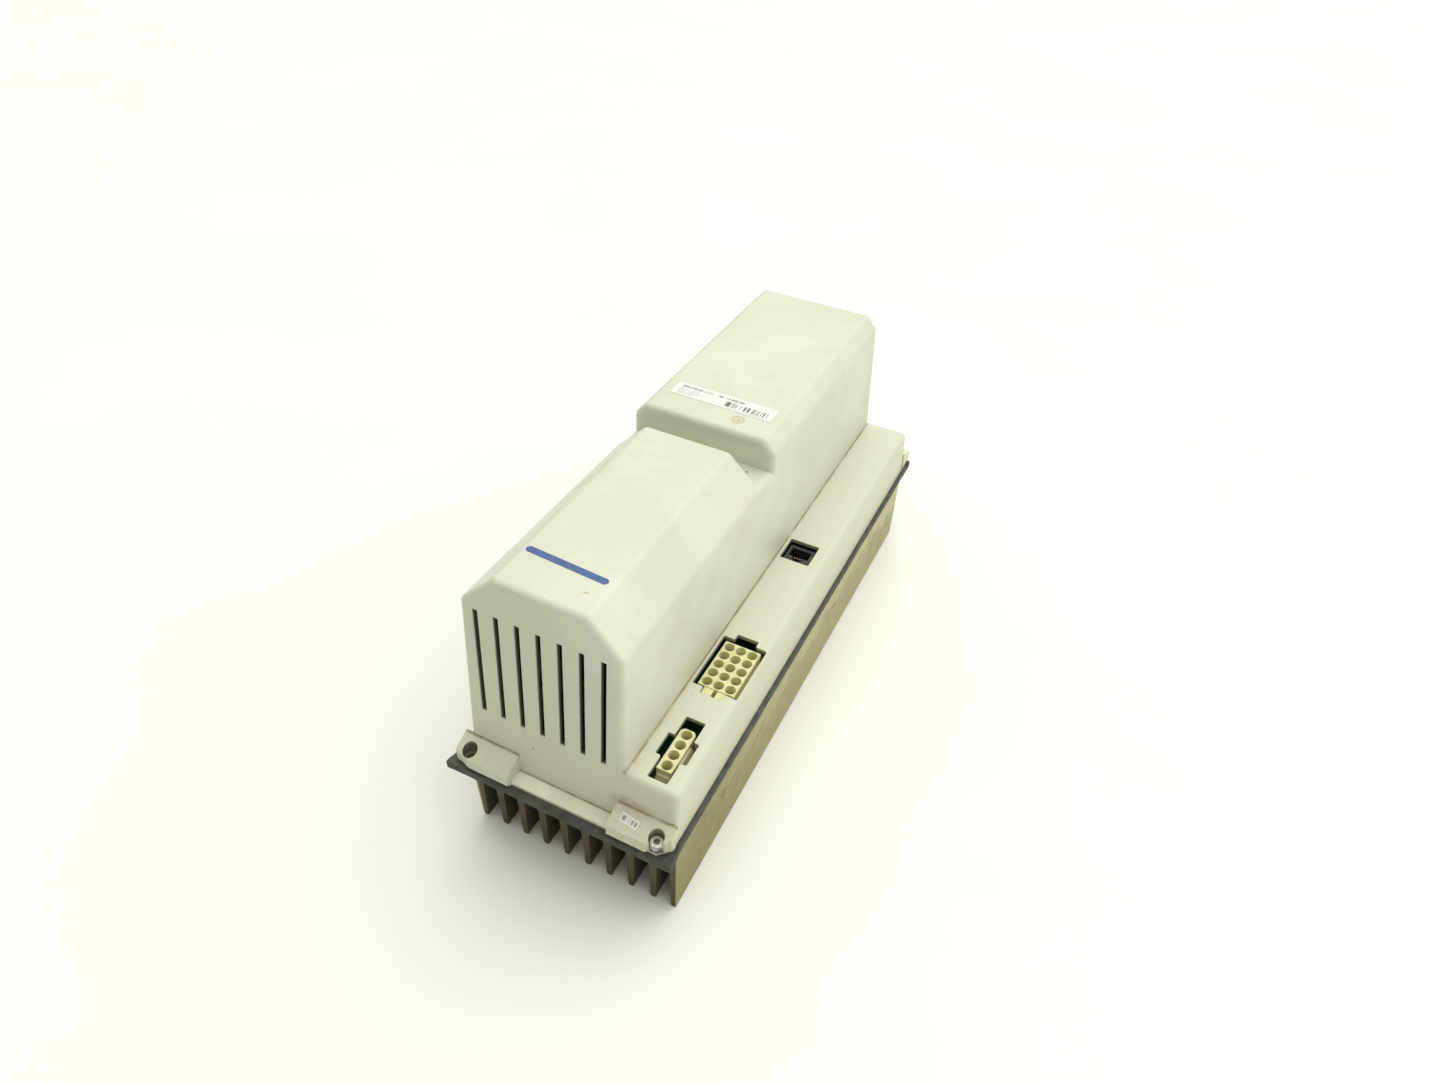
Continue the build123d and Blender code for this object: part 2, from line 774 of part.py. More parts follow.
signal_contacts = contact_group(signal_places, 79.5)
save(signal_contacts, "signal_contacts")

jack_mouth_x, jack_mouth_y = 11.8, 6.8
jack_floor = 71.0
with BuildPart() as network_jack:
    with BuildSketch(Plane.XY.offset(board_top)):
        with Locations((jack_x, jack_y)):
            Rectangle(15.9, 15.2)
    extrude(amount=jack_top - board_top)
    chamfer(network_jack.edges().group_by(Axis.Z)[-1], length=0.5)
    with BuildSketch(Plane.XY.offset(jack_floor)):
        with Locations((jack_x, jack_y + 1.3)):
            Rectangle(jack_mouth_x, jack_mouth_y)
        with Locations((jack_x, jack_y - 3.4)):
            Rectangle(6.2, 2.8)
        with Locations((jack_x, jack_y - 5.2)):
            Rectangle(3.6, 1.6)
    extrude(amount=jack_top - jack_floor, mode=Mode.SUBTRACT)
save(network_jack, "network_jack")

with BuildPart() as jack_contacts:
    with BuildSketch(Plane.YZ.offset(jack_x)) as spring:
        with BuildLine():
            back = jack_y + 1.3 + jack_mouth_y / 2
            Polyline(
                (back, jack_floor),
                (back - 0.45, jack_floor),
                (back - 2.3, jack_floor + 6.5),
                (back - 1.9, jack_floor + 6.8),
                (back, jack_floor + 1.6),
                close=True,
            )
        make_face()
    for n in range(8):
        offset_x = 1.02 * (n - 3.5) - 0.2
        with BuildSketch(Plane.YZ.offset(jack_x + offset_x)) as blade:
            add(spring.sketch_local)
        extrude(blade.sketch, amount=0.4)
save(jack_contacts, "jack_contacts")

# ---------------------------------------------------------------- fan and its bracket

fan_corners = [(fan_x + dx, fan_z + dz) for dx, dz in corner_places(fan_screw_pitch / 2, fan_screw_pitch / 2)]
bracket_thick = 1.5
bracket_left, bracket_right = fan_x - 33.0, fan_x + 33.0
bracket_top = fan_z + 32.0
foot_deep = 12.0
foot_screws = [(fan_x + sx * 24.0, fan_rear + bracket_thick + 7.0) for sx in (-1, 1)]

with BuildPart() as fan_bracket:
    with BuildSketch(Plane.XZ.offset(-fan_rear)):
        with BuildLine():
            Polyline(
                (bracket_left, board_top),
                (bracket_left, bracket_top),
                (bracket_right, bracket_top),
                (bracket_right, board_top),
                close=True,
            )
        make_face()
        with Locations((fan_x, fan_z)):
            Circle(fan_bore_r, mode=Mode.SUBTRACT)
        with Locations(*fan_corners):
            Circle(1.8, mode=Mode.SUBTRACT)
    extrude(amount=-bracket_thick)
    with BuildSketch(Plane.XY.offset(board_top)):
        with Locations((fan_x, fan_rear + bracket_thick + foot_deep / 2)):
            Rectangle(bracket_right - bracket_left, foot_deep)
        with Locations(*foot_screws):
            Circle(1.7, mode=Mode.SUBTRACT)
    extrude(amount=bracket_thick)
save(fan_bracket, "fan_bracket")
bracket_screws = screw_group(foot_screws, board_top + bracket_thick, bracket_thick, m3_r, 2.8, 1.9)
save(bracket_screws, "bracket_screws")

with BuildPart() as fan_frame:
    with BuildSketch(Plane.XZ.offset(-fan_rear)):
        with Locations((fan_x, fan_z)):
            RectangleRounded(fan_size, fan_size, 3.0)
            Circle(fan_bore_r, mode=Mode.SUBTRACT)
        with Locations(*fan_corners):
            Circle(1.6, mode=Mode.SUBTRACT)
    extrude(amount=fan_depth)
    # Three struts carry the motor base and its bearing tube at the outlet side.
    with BuildSketch(Plane.XZ.offset(-fan_rear)):
        with Locations((fan_x, fan_z)):
            Circle(hub_r)
            with PolarLocations((hub_r + fan_bore_r) / 2, 3, start_angle=30):
                Rectangle(fan_bore_r - hub_r + 1.5, 3.0)
            Circle(shaft_r + 0.5, mode=Mode.SUBTRACT)
    extrude(amount=3.0)
    with BuildSketch(Plane.XZ.offset(-fan_rear + 3.0)):
        with Locations((fan_x, fan_z)):
            Circle(bearing_r + 1.5)
            Circle(bearing_r, mode=Mode.SUBTRACT)
    extrude(amount=14.0)
save(fan_frame, "fan_frame")

fan_screws_seat = fan_rear + bracket_thick
with BuildPart() as fan_screws:
    with BuildSketch(Plane.XZ.offset(-fan_screws_seat)):
        with Locations(*fan_corners):
            Circle(3.2)
    extrude(amount=-2.0)
    fillet(fan_screws.edges().filter_by(GeomType.CIRCLE).group_by(Axis.Y)[-1], radius=0.8)
    with BuildSketch(Plane.XZ.offset(-fan_screws_seat)):
        with Locations(*fan_corners):
            Circle(1.6)
    extrude(amount=12.0)
save(fan_screws, "fan_screws")

bearing_high = 4.0
with BuildPart() as fan_bearings:
    for low in (fan_rear - 3.0 - bearing_high, fan_rear - 17.0):
        with BuildSketch(Plane.XZ.offset(-low - bearing_high)) as race:
            with Locations((fan_x, fan_z)):
                Circle(bearing_r)
                Circle(shaft_r, mode=Mode.SUBTRACT)
        extrude(race.sketch, amount=bearing_high)
save(fan_bearings, "fan_bearings")

shaft_run = 0.03
rotor_front = fan_front + 2.0
rotor_skirt = 17.0
with BuildPart() as fan_shaft:
    with BuildSketch(Plane.XZ.offset(-fan_rear + 1.5)):
        with Locations((fan_x, fan_z)):
            Circle(shaft_r - shaft_run)
    extrude(amount=fan_rear - 1.5 - rotor_front - 1.2)
save(fan_shaft, "fan_shaft")

with BuildPart() as fan_rotor:
    with BuildSketch(Plane.XZ.offset(-rotor_front)):
        with Locations((fan_x, fan_z)):
            Circle(hub_r)
    extrude(amount=-rotor_skirt)
    fillet(fan_rotor.edges().group_by(Axis.Y)[0], radius=1.5)
    with BuildSketch(Plane.XZ.offset(-rotor_front - rotor_skirt)):
        with Locations((fan_x, fan_z)):
            Circle(hub_r - 1.5)
    extrude(amount=rotor_skirt - 2.5, mode=Mode.SUBTRACT)
    with BuildSketch(Plane.XZ.offset(-rotor_front - 2.5)):
        with Locations((fan_x, fan_z)):
            Circle(3.5)
    extrude(amount=-2.0)
    with BuildSketch(Plane.XZ.offset(-rotor_front - 4.5)):
        with Locations((fan_x, fan_z)):
            Circle(shaft_r - shaft_run)
    extrude(amount=3.3, mode=Mode.SUBTRACT)
    # Each blade is an arched strip that runs straight out from the hub.
    for n in range(blade_count):
        outwards = Vector(1, 0, 0).rotate(Axis.Y, 360 / blade_count * n)
        hub_point = Vector(fan_x, rotor_front + 8.5, fan_z) + outwards * (hub_r - 0.7)
        with BuildSketch(Plane(origin=hub_point, x_dir=(0, 1, 0), z_dir=outwards)) as blade_side:
            with BuildLine():
                ThreePointArc((-6.2, -5.4), (-1.2, 1.0), (6.2, 5.2))
                Line((6.2, 5.2), (6.0, 6.3))
                ThreePointArc((6.0, 6.3), (-1.8, 2.1), (-7.0, -4.7))
                Line((-7.0, -4.7), (-6.2, -5.4))
            make_face()
        extrude(blade_side.sketch, amount=blade_r - hub_r - 0.3)
save(fan_rotor, "fan_rotor")

# ---------------------------------------------------------------- labels

label_thick = 0.15
with BuildPart() as rating_label:
    with BuildSketch(Plane.XY.offset(top_z)):
        with Locations((-12.1, 16.0)):
            Rectangle(60.0, 12.2, rotation=-0.8)
    extrude(amount=label_thick)
save(rating_label, "rating_label")

lug_slope = Plane(
    origin=(36.7, -lug_front + 0.3, lug_front_z),
    x_dir=(1, 0, 0),
    z_dir=(0, lug_front_z - lug_back_z, lug_front - 0.3 - lug_back[-1]),
)
with BuildPart() as lug_label:
    with BuildSketch(lug_slope):
        with Locations((0, 6.1)):
            RectangleRounded(9.8, 4.6, 0.5, rotation=-6.5)
    extrude(amount=label_thick)
save(lug_label, "lug_label")
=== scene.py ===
import math
import random

import bmesh
import bpy
from mathutils import Matrix, Vector, noise


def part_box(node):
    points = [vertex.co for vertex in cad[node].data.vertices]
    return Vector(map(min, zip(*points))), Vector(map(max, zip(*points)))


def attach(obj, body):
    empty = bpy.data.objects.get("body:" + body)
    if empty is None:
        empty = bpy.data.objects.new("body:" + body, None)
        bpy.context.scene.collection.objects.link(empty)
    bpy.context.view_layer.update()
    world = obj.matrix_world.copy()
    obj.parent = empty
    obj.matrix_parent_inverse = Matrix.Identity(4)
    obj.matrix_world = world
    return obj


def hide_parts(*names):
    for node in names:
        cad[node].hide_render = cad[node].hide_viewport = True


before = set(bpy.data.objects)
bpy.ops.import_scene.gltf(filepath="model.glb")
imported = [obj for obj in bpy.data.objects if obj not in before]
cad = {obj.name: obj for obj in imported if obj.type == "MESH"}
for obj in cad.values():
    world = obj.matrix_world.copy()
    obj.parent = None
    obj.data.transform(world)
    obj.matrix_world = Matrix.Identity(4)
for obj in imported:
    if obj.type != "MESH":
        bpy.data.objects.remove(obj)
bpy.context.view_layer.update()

MM = 0.001

# ------------------------ places on the drive (mm)

STEP_Z = 85.5  # top of the low step that carries the sockets
TOP_Z = 168.5  # flat tops of the hump and of the rear block
WALL_X = 29.9  # where the hump's right wall meets the step
SINK_SIDE_X = 59.2  # the heatsink's right side

# The cover's end walls: where they stand at their foot, and how far they lean in for each mm of height.
COVER_FOOT_Z = 55.0
FRONT_FOOT_Y, FRONT_LEAN = -166.8, 0.09
REAR_FOOT_Y, REAR_LEAN = 165.0, 0.13

# Mounting holes in the four lugs.
HOLE_X, HOLE_Y = 51.5, 172.5
HOLE_R = 2.25
LUG_HOLES = [(sx * HOLE_X, sy * HOLE_Y) for sx in (-1, 1) for sy in (-1, 1)]
FRONT_RIGHT_HOLE = (HOLE_X, -HOLE_Y)


# ------------------------ a small kit for node materials


class Look:
    """A Principled material with its colour, roughness and relief from nodes.

    The nodes work in object space, in millimetres. Masks run from 0 to 1.
    """

    def __init__(self, name, **shader):
        self.material = bpy.data.materials.new(name)
        self.material.use_nodes = True
        self.tree = self.material.node_tree
        self.tree.nodes.clear()
        output = self.node("ShaderNodeOutputMaterial")
        self.shader = self.node("ShaderNodeBsdfPrincipled")
        self.join(self.shader.outputs["BSDF"], output.inputs["Surface"])
        coords = self.node("ShaderNodeTexCoord")
        scaled = self.node("ShaderNodeVectorMath", operation="SCALE")
        self.join(coords.outputs["Object"], scaled.inputs[0])
        scaled.inputs["Scale"].default_value = 1 / MM
        self.place = scaled.outputs[0]
        split = self.node("ShaderNodeSeparateXYZ")
        self.join(self.place, split.inputs[0])
        self.x, self.y, self.z = split.outputs
        self.normal = None
        for socket, value in shader.items():
            self.shader.inputs[socket.replace("_", " ")].default_value = value

    def node(self, kind, **settings):
        made = self.tree.nodes.new(kind)
        for key, value in settings.items():
            setattr(made, key, value)
        return made

    def join(self, source, target):
        """Links a socket, or sets a number or a colour."""
        if isinstance(source, (int, float)):
            target.default_value = source
        elif isinstance(source, tuple):
            target.default_value = (*source, 1.0)[: len(target.default_value)]
        else:
            self.tree.links.new(source, target)

    def math(self, operation, a, b=0.0):
        made = self.node("ShaderNodeMath", operation=operation)
        self.join(a, made.inputs[0])
        self.join(b, made.inputs[1])
        return made.outputs[0]

    def off(self, value, centre):
        """How far a value is from a centre, either way."""
        return self.math("ABSOLUTE", self.math("SUBTRACT", value, centre))

    def distance(self, x, y, z, flat=(1, 1, 1)):
        """How far the place is from a point, with each axis scaled by flat; 0 leaves it out."""
        made = self.node("ShaderNodeMapping")
        self.join(self.place, made.inputs["Vector"])
        made.inputs["Scale"].default_value = flat
        made.inputs["Location"].default_value = (-x * flat[0], -y * flat[1], -z * flat[2])
        size = self.node("ShaderNodeVectorMath", operation="LENGTH")
        self.join(made.outputs[0], size.inputs[0])
        return size.outputs["Value"]

    def stretch(self, x, y, z, shift=(0, 0, 0)):
        """The place, scaled per axis: a texture on it runs long where the factor is small."""
        made = self.node("ShaderNodeMapping")
        self.join(self.place, made.inputs["Vector"])
        made.inputs["Scale"].default_value = (x, y, z)
        made.inputs["Location"].default_value = shift
        return made.outputs[0]

    def noise(self, per_mm, detail=3.0, roughness=0.5, warp=0.0, place=None):
        made = self.node("ShaderNodeTexNoise")
        self.join(place or self.place, made.inputs["Vector"])
        made.inputs["Scale"].default_value = per_mm
        made.inputs["Detail"].default_value = detail
        made.inputs["Roughness"].default_value = roughness
        made.inputs["Distortion"].default_value = warp
        return made.outputs[0]

    def cells(self, per_mm, place=None):
        """Distance to the nearest of many scattered points."""
        made = self.node("ShaderNodeTexVoronoi", feature="F1")
        self.join(place or self.place, made.inputs["Vector"])
        made.inputs["Scale"].default_value = per_mm
        return made.outputs["Distance"]

    def ease(self, value, low, high, start=0.0, end=1.0):
        """A smooth step of value: start at low, end at high. low may be above high."""
        if low > high:
            low, high, start, end = high, low, end, start
        made = self.node("ShaderNodeMapRange", interpolation_type="SMOOTHSTEP")
        self.join(value, made.inputs["Value"])
        limits = {"From Min": low, "From Max": high, "To Min": start, "To Max": end}
        for name, number in limits.items():
            made.inputs[name].default_value = number
        return made.outputs[0]

    def patches(self, per_mm, low, high, *noise_settings, start=0.0, end=1.0, place=None):
        """Noise through a smooth step: start where it is under low, end where it is over high."""
        return self.ease(self.noise(per_mm, *noise_settings, place=place), low, high, start, end)

    def both(self, *masks):
        out = masks[0]
        for mask in masks[1:]:
            out = self.math("MULTIPLY", out, mask)
        return out

    def either(self, *masks):
        out = masks[0]
        for mask in masks[1:]:
            out = self.math("MAXIMUM", out, mask)
        return out

    def within(self, value, low, high, soft):
        """1 between low and high, falling off over soft."""
        return self.both(self.ease(value, low - soft, low), self.ease(value, high + soft, high))

    def near(self, x, y, z, radius, soft, flat=(1, 1, 1)):
        """1 inside a ball, or an ellipsoid, round a point, falling off over soft."""
        return self.ease(self.distance(x, y, z, flat), radius + soft, radius)

    def mix(self, mask, a, b):
        made = self.node("ShaderNodeMix", data_type="RGBA")
        self.join(mask, made.inputs[0])
        self.join(a, made.inputs[6])
        self.join(b, made.inputs[7])
        return made.outputs[2]

    def tint(self, colour, mask, share, tone):
        """The colour, with that share of a tone mixed in where the mask is 1."""
        return self.mix(self.math("MULTIPLY", mask, share), colour, tone)

    def colour(self, value):
        self.join(value, self.shader.inputs["Base Color"])

    def rough(self, value):
        self.join(value, self.shader.inputs["Roughness"])

    def rough_patches(self, per_mm, low, high, *noise_settings):
        """Roughness that wanders between two values."""
        self.rough(self.patches(per_mm, 0.3, 0.7, *noise_settings, start=low, end=high))

    def relief(self, height, strength, depth_mm):
        """Adds a bump of that depth, on top of any before it."""
        made = self.node("ShaderNodeBump")
        made.inputs["Strength"].default_value = strength
        made.inputs["Distance"].default_value = depth_mm * MM
        self.join(height, made.inputs["Height"])
        if self.normal is not None:
            self.join(self.normal, made.inputs["Normal"])
        self.normal = made.outputs[0]
        self.join(self.normal, self.shader.inputs["Normal"])


def wear(thing, look):
    """Gives an object one material in every slot."""
    thing.data.materials.clear()
    thing.data.materials.append(look.material)


# ------------------------ cover: warm grey moulding, a little dirty


def moulding_colour(look):
    """The moulding itself: faint clouds, yellowed in patches on the right wall, and painted shade,
    darker and yellower, low down.
    """
    clean, shade = (0.725, 0.742, 0.615), (0.665, 0.68, 0.545)
    wall_yellow, low_shade_tone = (0.66, 0.645, 0.44), (0.66, 0.67, 0.515)
    colour = look.mix(look.patches(0.018, 0.36, 0.66, 4, 0.55, 0.6), shade, clean)
    right_wall = look.ease(look.x, 20.0, 29.0)
    wall_patch = look.both(look.patches(0.035, 0.5, 0.72, 3, 0.6), right_wall)
    colour = look.tint(colour, wall_patch, 0.35, wall_yellow)
    # Painted shade: darker and yellower from z 118 mm down to just under the step.
    low_shade = look.ease(look.z, 118.0, STEP_Z - 1.5)
    return look.tint(colour, low_shade, 0.85, low_shade_tone)


def corner_dirt_and_shade(look, colour):
    """A brown dirt line in the inner corner of wall and step, with painted shade in patches beside it
    towards the intake end.
    """
    dust, dirt = (0.50, 0.40, 0.24), (0.30, 0.22, 0.12)
    off_wall, off_step = look.off(look.x, WALL_X), look.off(look.z, STEP_Z)
    corner = look.both(look.ease(off_wall, 1.3, 0.2), look.ease(off_step, 1.3, 0.2))
    # Painted shade beside the corner, broken up in patches, only towards the intake end.
    corner_shade = look.both(look.ease(off_wall, 5.0, 0.0), look.ease(off_step, 5.0, 0.0))
    corner_shade = look.both(corner_shade, look.ease(look.y, -60.0, -160.0))
    grit = look.patches(0.5, 0.38, 0.62, 4, 0.65, 0.4)
    # The shade is painted in the dust tone.
    colour = look.tint(colour, look.both(corner_shade, grit), 0.45, dust)
    line = look.both(corner, look.patches(0.06, 0.30, 0.58, 3, 0.6, start=0.35, end=0.9))
    return look.mix(line, colour, dirt)


def inside_end_walls(look):
    """How far the place is behind the front end wall's face, and in front of the rear one's."""
    above_foot = look.math("SUBTRACT", look.z, COVER_FOOT_Z)
    front = look.math("ADD", FRONT_FOOT_Y, look.math("MULTIPLY", FRONT_LEAN, above_foot))
    rear = look.math("ADD", REAR_FOOT_Y, look.math("MULTIPLY", -REAR_LEAN, above_foot))
    return look.math("SUBTRACT", look.y, front), look.math("SUBTRACT", rear, look.y)


def front_grime(look, colour, behind_front):
    """Grime in the joints of the front wall, its lugs and the plate, and on the lugs themselves."""
    joint_dirt, smear_dirt = (0.24, 0.185, 0.10), (0.40, 0.31, 0.17)
    lug_yellow, lug_brown, lug_grey = (0.67, 0.66, 0.48), (0.52, 0.47, 0.30), (0.50, 0.48, 0.36)

    plate_joint = look.ease(look.z, 57.0, 55.4)
    lug_joint = look.within(look.z, 65.3, 66.9, 0.9)
    beside_lug = look.ease(look.math("ABSOLUTE", look.x), 26.8, 27.6)
    joint = look.both(
        look.ease(look.math("ABSOLUTE", behind_front), 1.1, 0.2),
        look.either(plate_joint, lug_joint),
        look.either(beside_lug, look.ease(look.z, 57.0, 55.6)),
        look.patches(0.25, 0.25, 0.6, start=0.3, end=1.0),
    )
    colour = look.tint(colour, joint, 0.8, joint_dirt)

    smear = look.near(34.0, -166.0, 67.5, 2.0, 6.0, flat=(0.5, 1, 1.3))
    smear = look.both(smear, look.patches(0.35, 0.30, 0.62, 4, 0.7))
    colour = look.tint(colour, smear, 0.75, smear_dirt)

    lugs = look.ease(look.y, -165.8, -167.5)
    right_lug = look.both(lugs, look.ease(look.x, 20.0, 30.0))
    lug_dirt = look.patches(0.3, 0.50, 0.72, 4, 0.7, 0.8)
    colour = look.tint(colour, right_lug, 0.5, lug_yellow)
    colour = look.tint(colour, look.both(right_lug, lug_dirt), 0.4, lug_brown)
    return look.tint(colour, look.both(lugs, lug_dirt), 0.14, lug_grey)


def shaded_cuts(look, colour, behind_front, before_rear):
    """Painted shade on the sides of the slots and of the socket cut-outs, and inside the screw holes.
    """
    slot_shade, cut_shade = (0.085, 0.074, 0.050), (0.16, 0.125, 0.06)
    hole_dark, hole_brown = (0.115, 0.095, 0.055), (0.25, 0.22, 0.145)

    slot_sides = look.both(
        look.ease(look.math("MINIMUM", behind_front, before_rear), 0.3, 1.1),
        look.within(look.z, 86.0, 150.0, 0.6),
        look.within(look.x, -48.5, 22.5, 0.5),
        look.ease(look.math("ABSOLUTE", look.y), 143.0, 146.0),
    )
    colour = look.tint(colour, slot_sides, 0.88, slot_shade)
    cut_sides = look.both(
        look.within(look.x, 31.5, 55.6, 0.2),
        look.within(look.y, -161.5, 40.0, 0.5),
        look.within(look.z, 82.0, STEP_Z - 1.2, 0.9),
    )
    colour = look.tint(colour, cut_sides, 0.7, cut_shade)

    # Painted shade inside the screw holes, mottled brown, darker with depth.
    hole_shade = look.mix(look.patches(1.2, 0.35, 0.65), hole_dark, hole_brown)
    deep = look.ease(look.z, 65.5, 62.0, 0.5, 0.95)
    for x, y in LUG_HOLES:
        inside = look.near(x, y, 0, 3.72, 0.2, flat=(1, 1, 0))
        colour = look.mix(look.both(inside, deep), colour, hole_shade)
    return colour


def small_marks(look, colour):
    """A ring-shaped stain next to the label, single marks, and scattered specks."""
    stain, rim, speck = (0.62, 0.56, 0.35), (0.46, 0.37, 0.18), (0.28, 0.24, 0.16)
    from_stain = look.distance(2.1, 3.8, TOP_Z)
    disc = look.ease(from_stain, 4.3, 3.7)
    ring = look.both(disc, look.ease(look.off(from_stain, 2.9), 0.8, 0.15))
    ring = look.both(ring, look.patches(0.7, 0.25, 0.55))
    colour = look.tint(colour, disc, 0.45, stain)
    colour = look.tint(colour, ring, 0.55, rim)

    # Each mark: centre, radius, how flat it is along each axis, tone.
    marks = [
        ((2.5, -143.5, TOP_Z), 0.45, (0.6, 1.4, 1), (0.45, 0.36, 0.16)),
        ((3.6, -143.0, TOP_Z), 0.3, (0.6, 1.3, 1), (0.50, 0.42, 0.22)),
        ((-18.9, -165.0, 75.4), 0.35, (1.3, 1, 0.7), (0.12, 0.11, 0.09)),
        ((-23.5, -165.2, 78.0), 0.15, (1, 1, 1), (0.30, 0.27, 0.20)),
        ((16.3, -13.3, 151.0), 0.5, (1, 1, 1), (0.08, 0.07, 0.05)),
        ((-46.7, 105.5, 168.0), 0.6, (0.6, 0.3, 1), (0.58, 0.56, 0.44)),
        ((2.6, 3.2, TOP_Z), 0.5, (0.7, 1.2, 1), (0.34, 0.26, 0.13)),
        ((35.5, -108.5, STEP_Z), 0.2, (1, 1, 1), (0.30, 0.26, 0.18)),
    ]
    for centre, radius, flat, tone in marks:
        colour = look.tint(colour, look.near(*centre, radius, 0.3, flat), 0.85, tone)

    dots = look.ease(look.cells(0.16, look.stretch(1, 1, 1, (5, 2, 9))), 0.055, 0.03)
    dots = look.both(dots, look.patches(0.05, 0.52, 0.62, 2))
    return look.tint(colour, dots, 0.5, speck)


def cover_look():
    look = Look("cover_moulding", IOR=1.5)
    smudge_tone, scratch_tone = (0.50, 0.49, 0.37), (0.82, 0.83, 0.74)
    colour = moulding_colour(look)

    # Handling smudges and faint scratches.
    smudge = look.patches(0.09, 0.60, 0.78, 5, 0.7, 1.5)
    colour = look.tint(colour, smudge, 0.22, smudge_tone)
    along = look.stretch(0.9, 0.05, 0.5, (3, 7, 1))
    scratch = look.patches(0.8, 0.74, 0.77, 2, 0.4, 0.2, place=along)
    colour = look.tint(colour, scratch, 0.3, scratch_tone)

    colour = corner_dirt_and_shade(look, colour)
    behind_front, before_rear = inside_end_walls(look)
    colour = front_grime(look, colour, behind_front)
    colour = shaded_cuts(look, colour, behind_front, before_rear)
    look.colour(small_marks(look, colour))

    # Satin finish, duller where it is smudged, over a fine moulded grain.
    satin = look.patches(0.05, 0.3, 0.7, 4, 0.6, start=0.36, end=0.50)
    look.rough(look.math("ADD", satin, look.math("MULTIPLY", smudge, 0.12)))
    look.relief(look.noise(2.2, 3, 0.6), 0.25, 0.02)
    look.relief(look.noise(0.02, 2, 0.5), 0.35, 0.25)
    look.relief(scratch, 0.2, -0.02)
    return look


# ------------------------ gasket, plate and heatsink


def rubber_look():
    look = Look("gasket_rubber")
    base, grey = (0.040, 0.045, 0.036), (0.068, 0.075, 0.062)
    dust, streak_tone = (0.24, 0.24, 0.18), (0.15, 0.15, 0.12)
    colour = look.mix(look.patches(0.08, 0.35, 0.68, 4, 0.6), base, grey)
    dusty = look.patches(0.16, 0.50, 0.72, 5, 0.7, 1.0)
    dusty = look.both(dusty, look.ease(look.z, 50.8, 52.6, 0.35, 1.0))
    colour = look.tint(colour, dusty, 0.25, dust)
    along = look.stretch(0.06, 0.06, 1.2)
    streak = look.patches(0.5, 0.52, 0.70, 3, 0.6, 0.3, place=along)
    look.colour(look.tint(colour, streak, 0.35, streak_tone))
    look.rough_patches(0.2, 0.62, 0.85)
    look.relief(look.noise(1.4, 4, 0.7), 0.6, 0.10)
    look.relief(look.cells(1.1), 0.35, -0.08)
    return look


def plate_look():
    look = Look("plate_paint")
    cream, pale = (0.80, 0.785, 0.60), (0.88, 0.875, 0.71)
    grime_tone, wall_shade = (0.50, 0.42, 0.24), (0.30, 0.24, 0.14)
    colour = look.mix(look.patches(0.05, 0.35, 0.65, 4, 0.55, 0.5), cream, pale)
    colour = look.tint(colour, look.patches(0.22, 0.52, 0.72, 5, 0.7, 0.7), 0.22, grime_tone)
    against_wall = look.ease(look.y, -167.6, -166.8)
    look.colour(look.tint(colour, against_wall, 0.5, wall_shade))
    look.rough_patches(0.1, 0.38, 0.60)
    look.relief(look.noise(0.9, 3, 0.6), 0.2, 0.03)
    return look


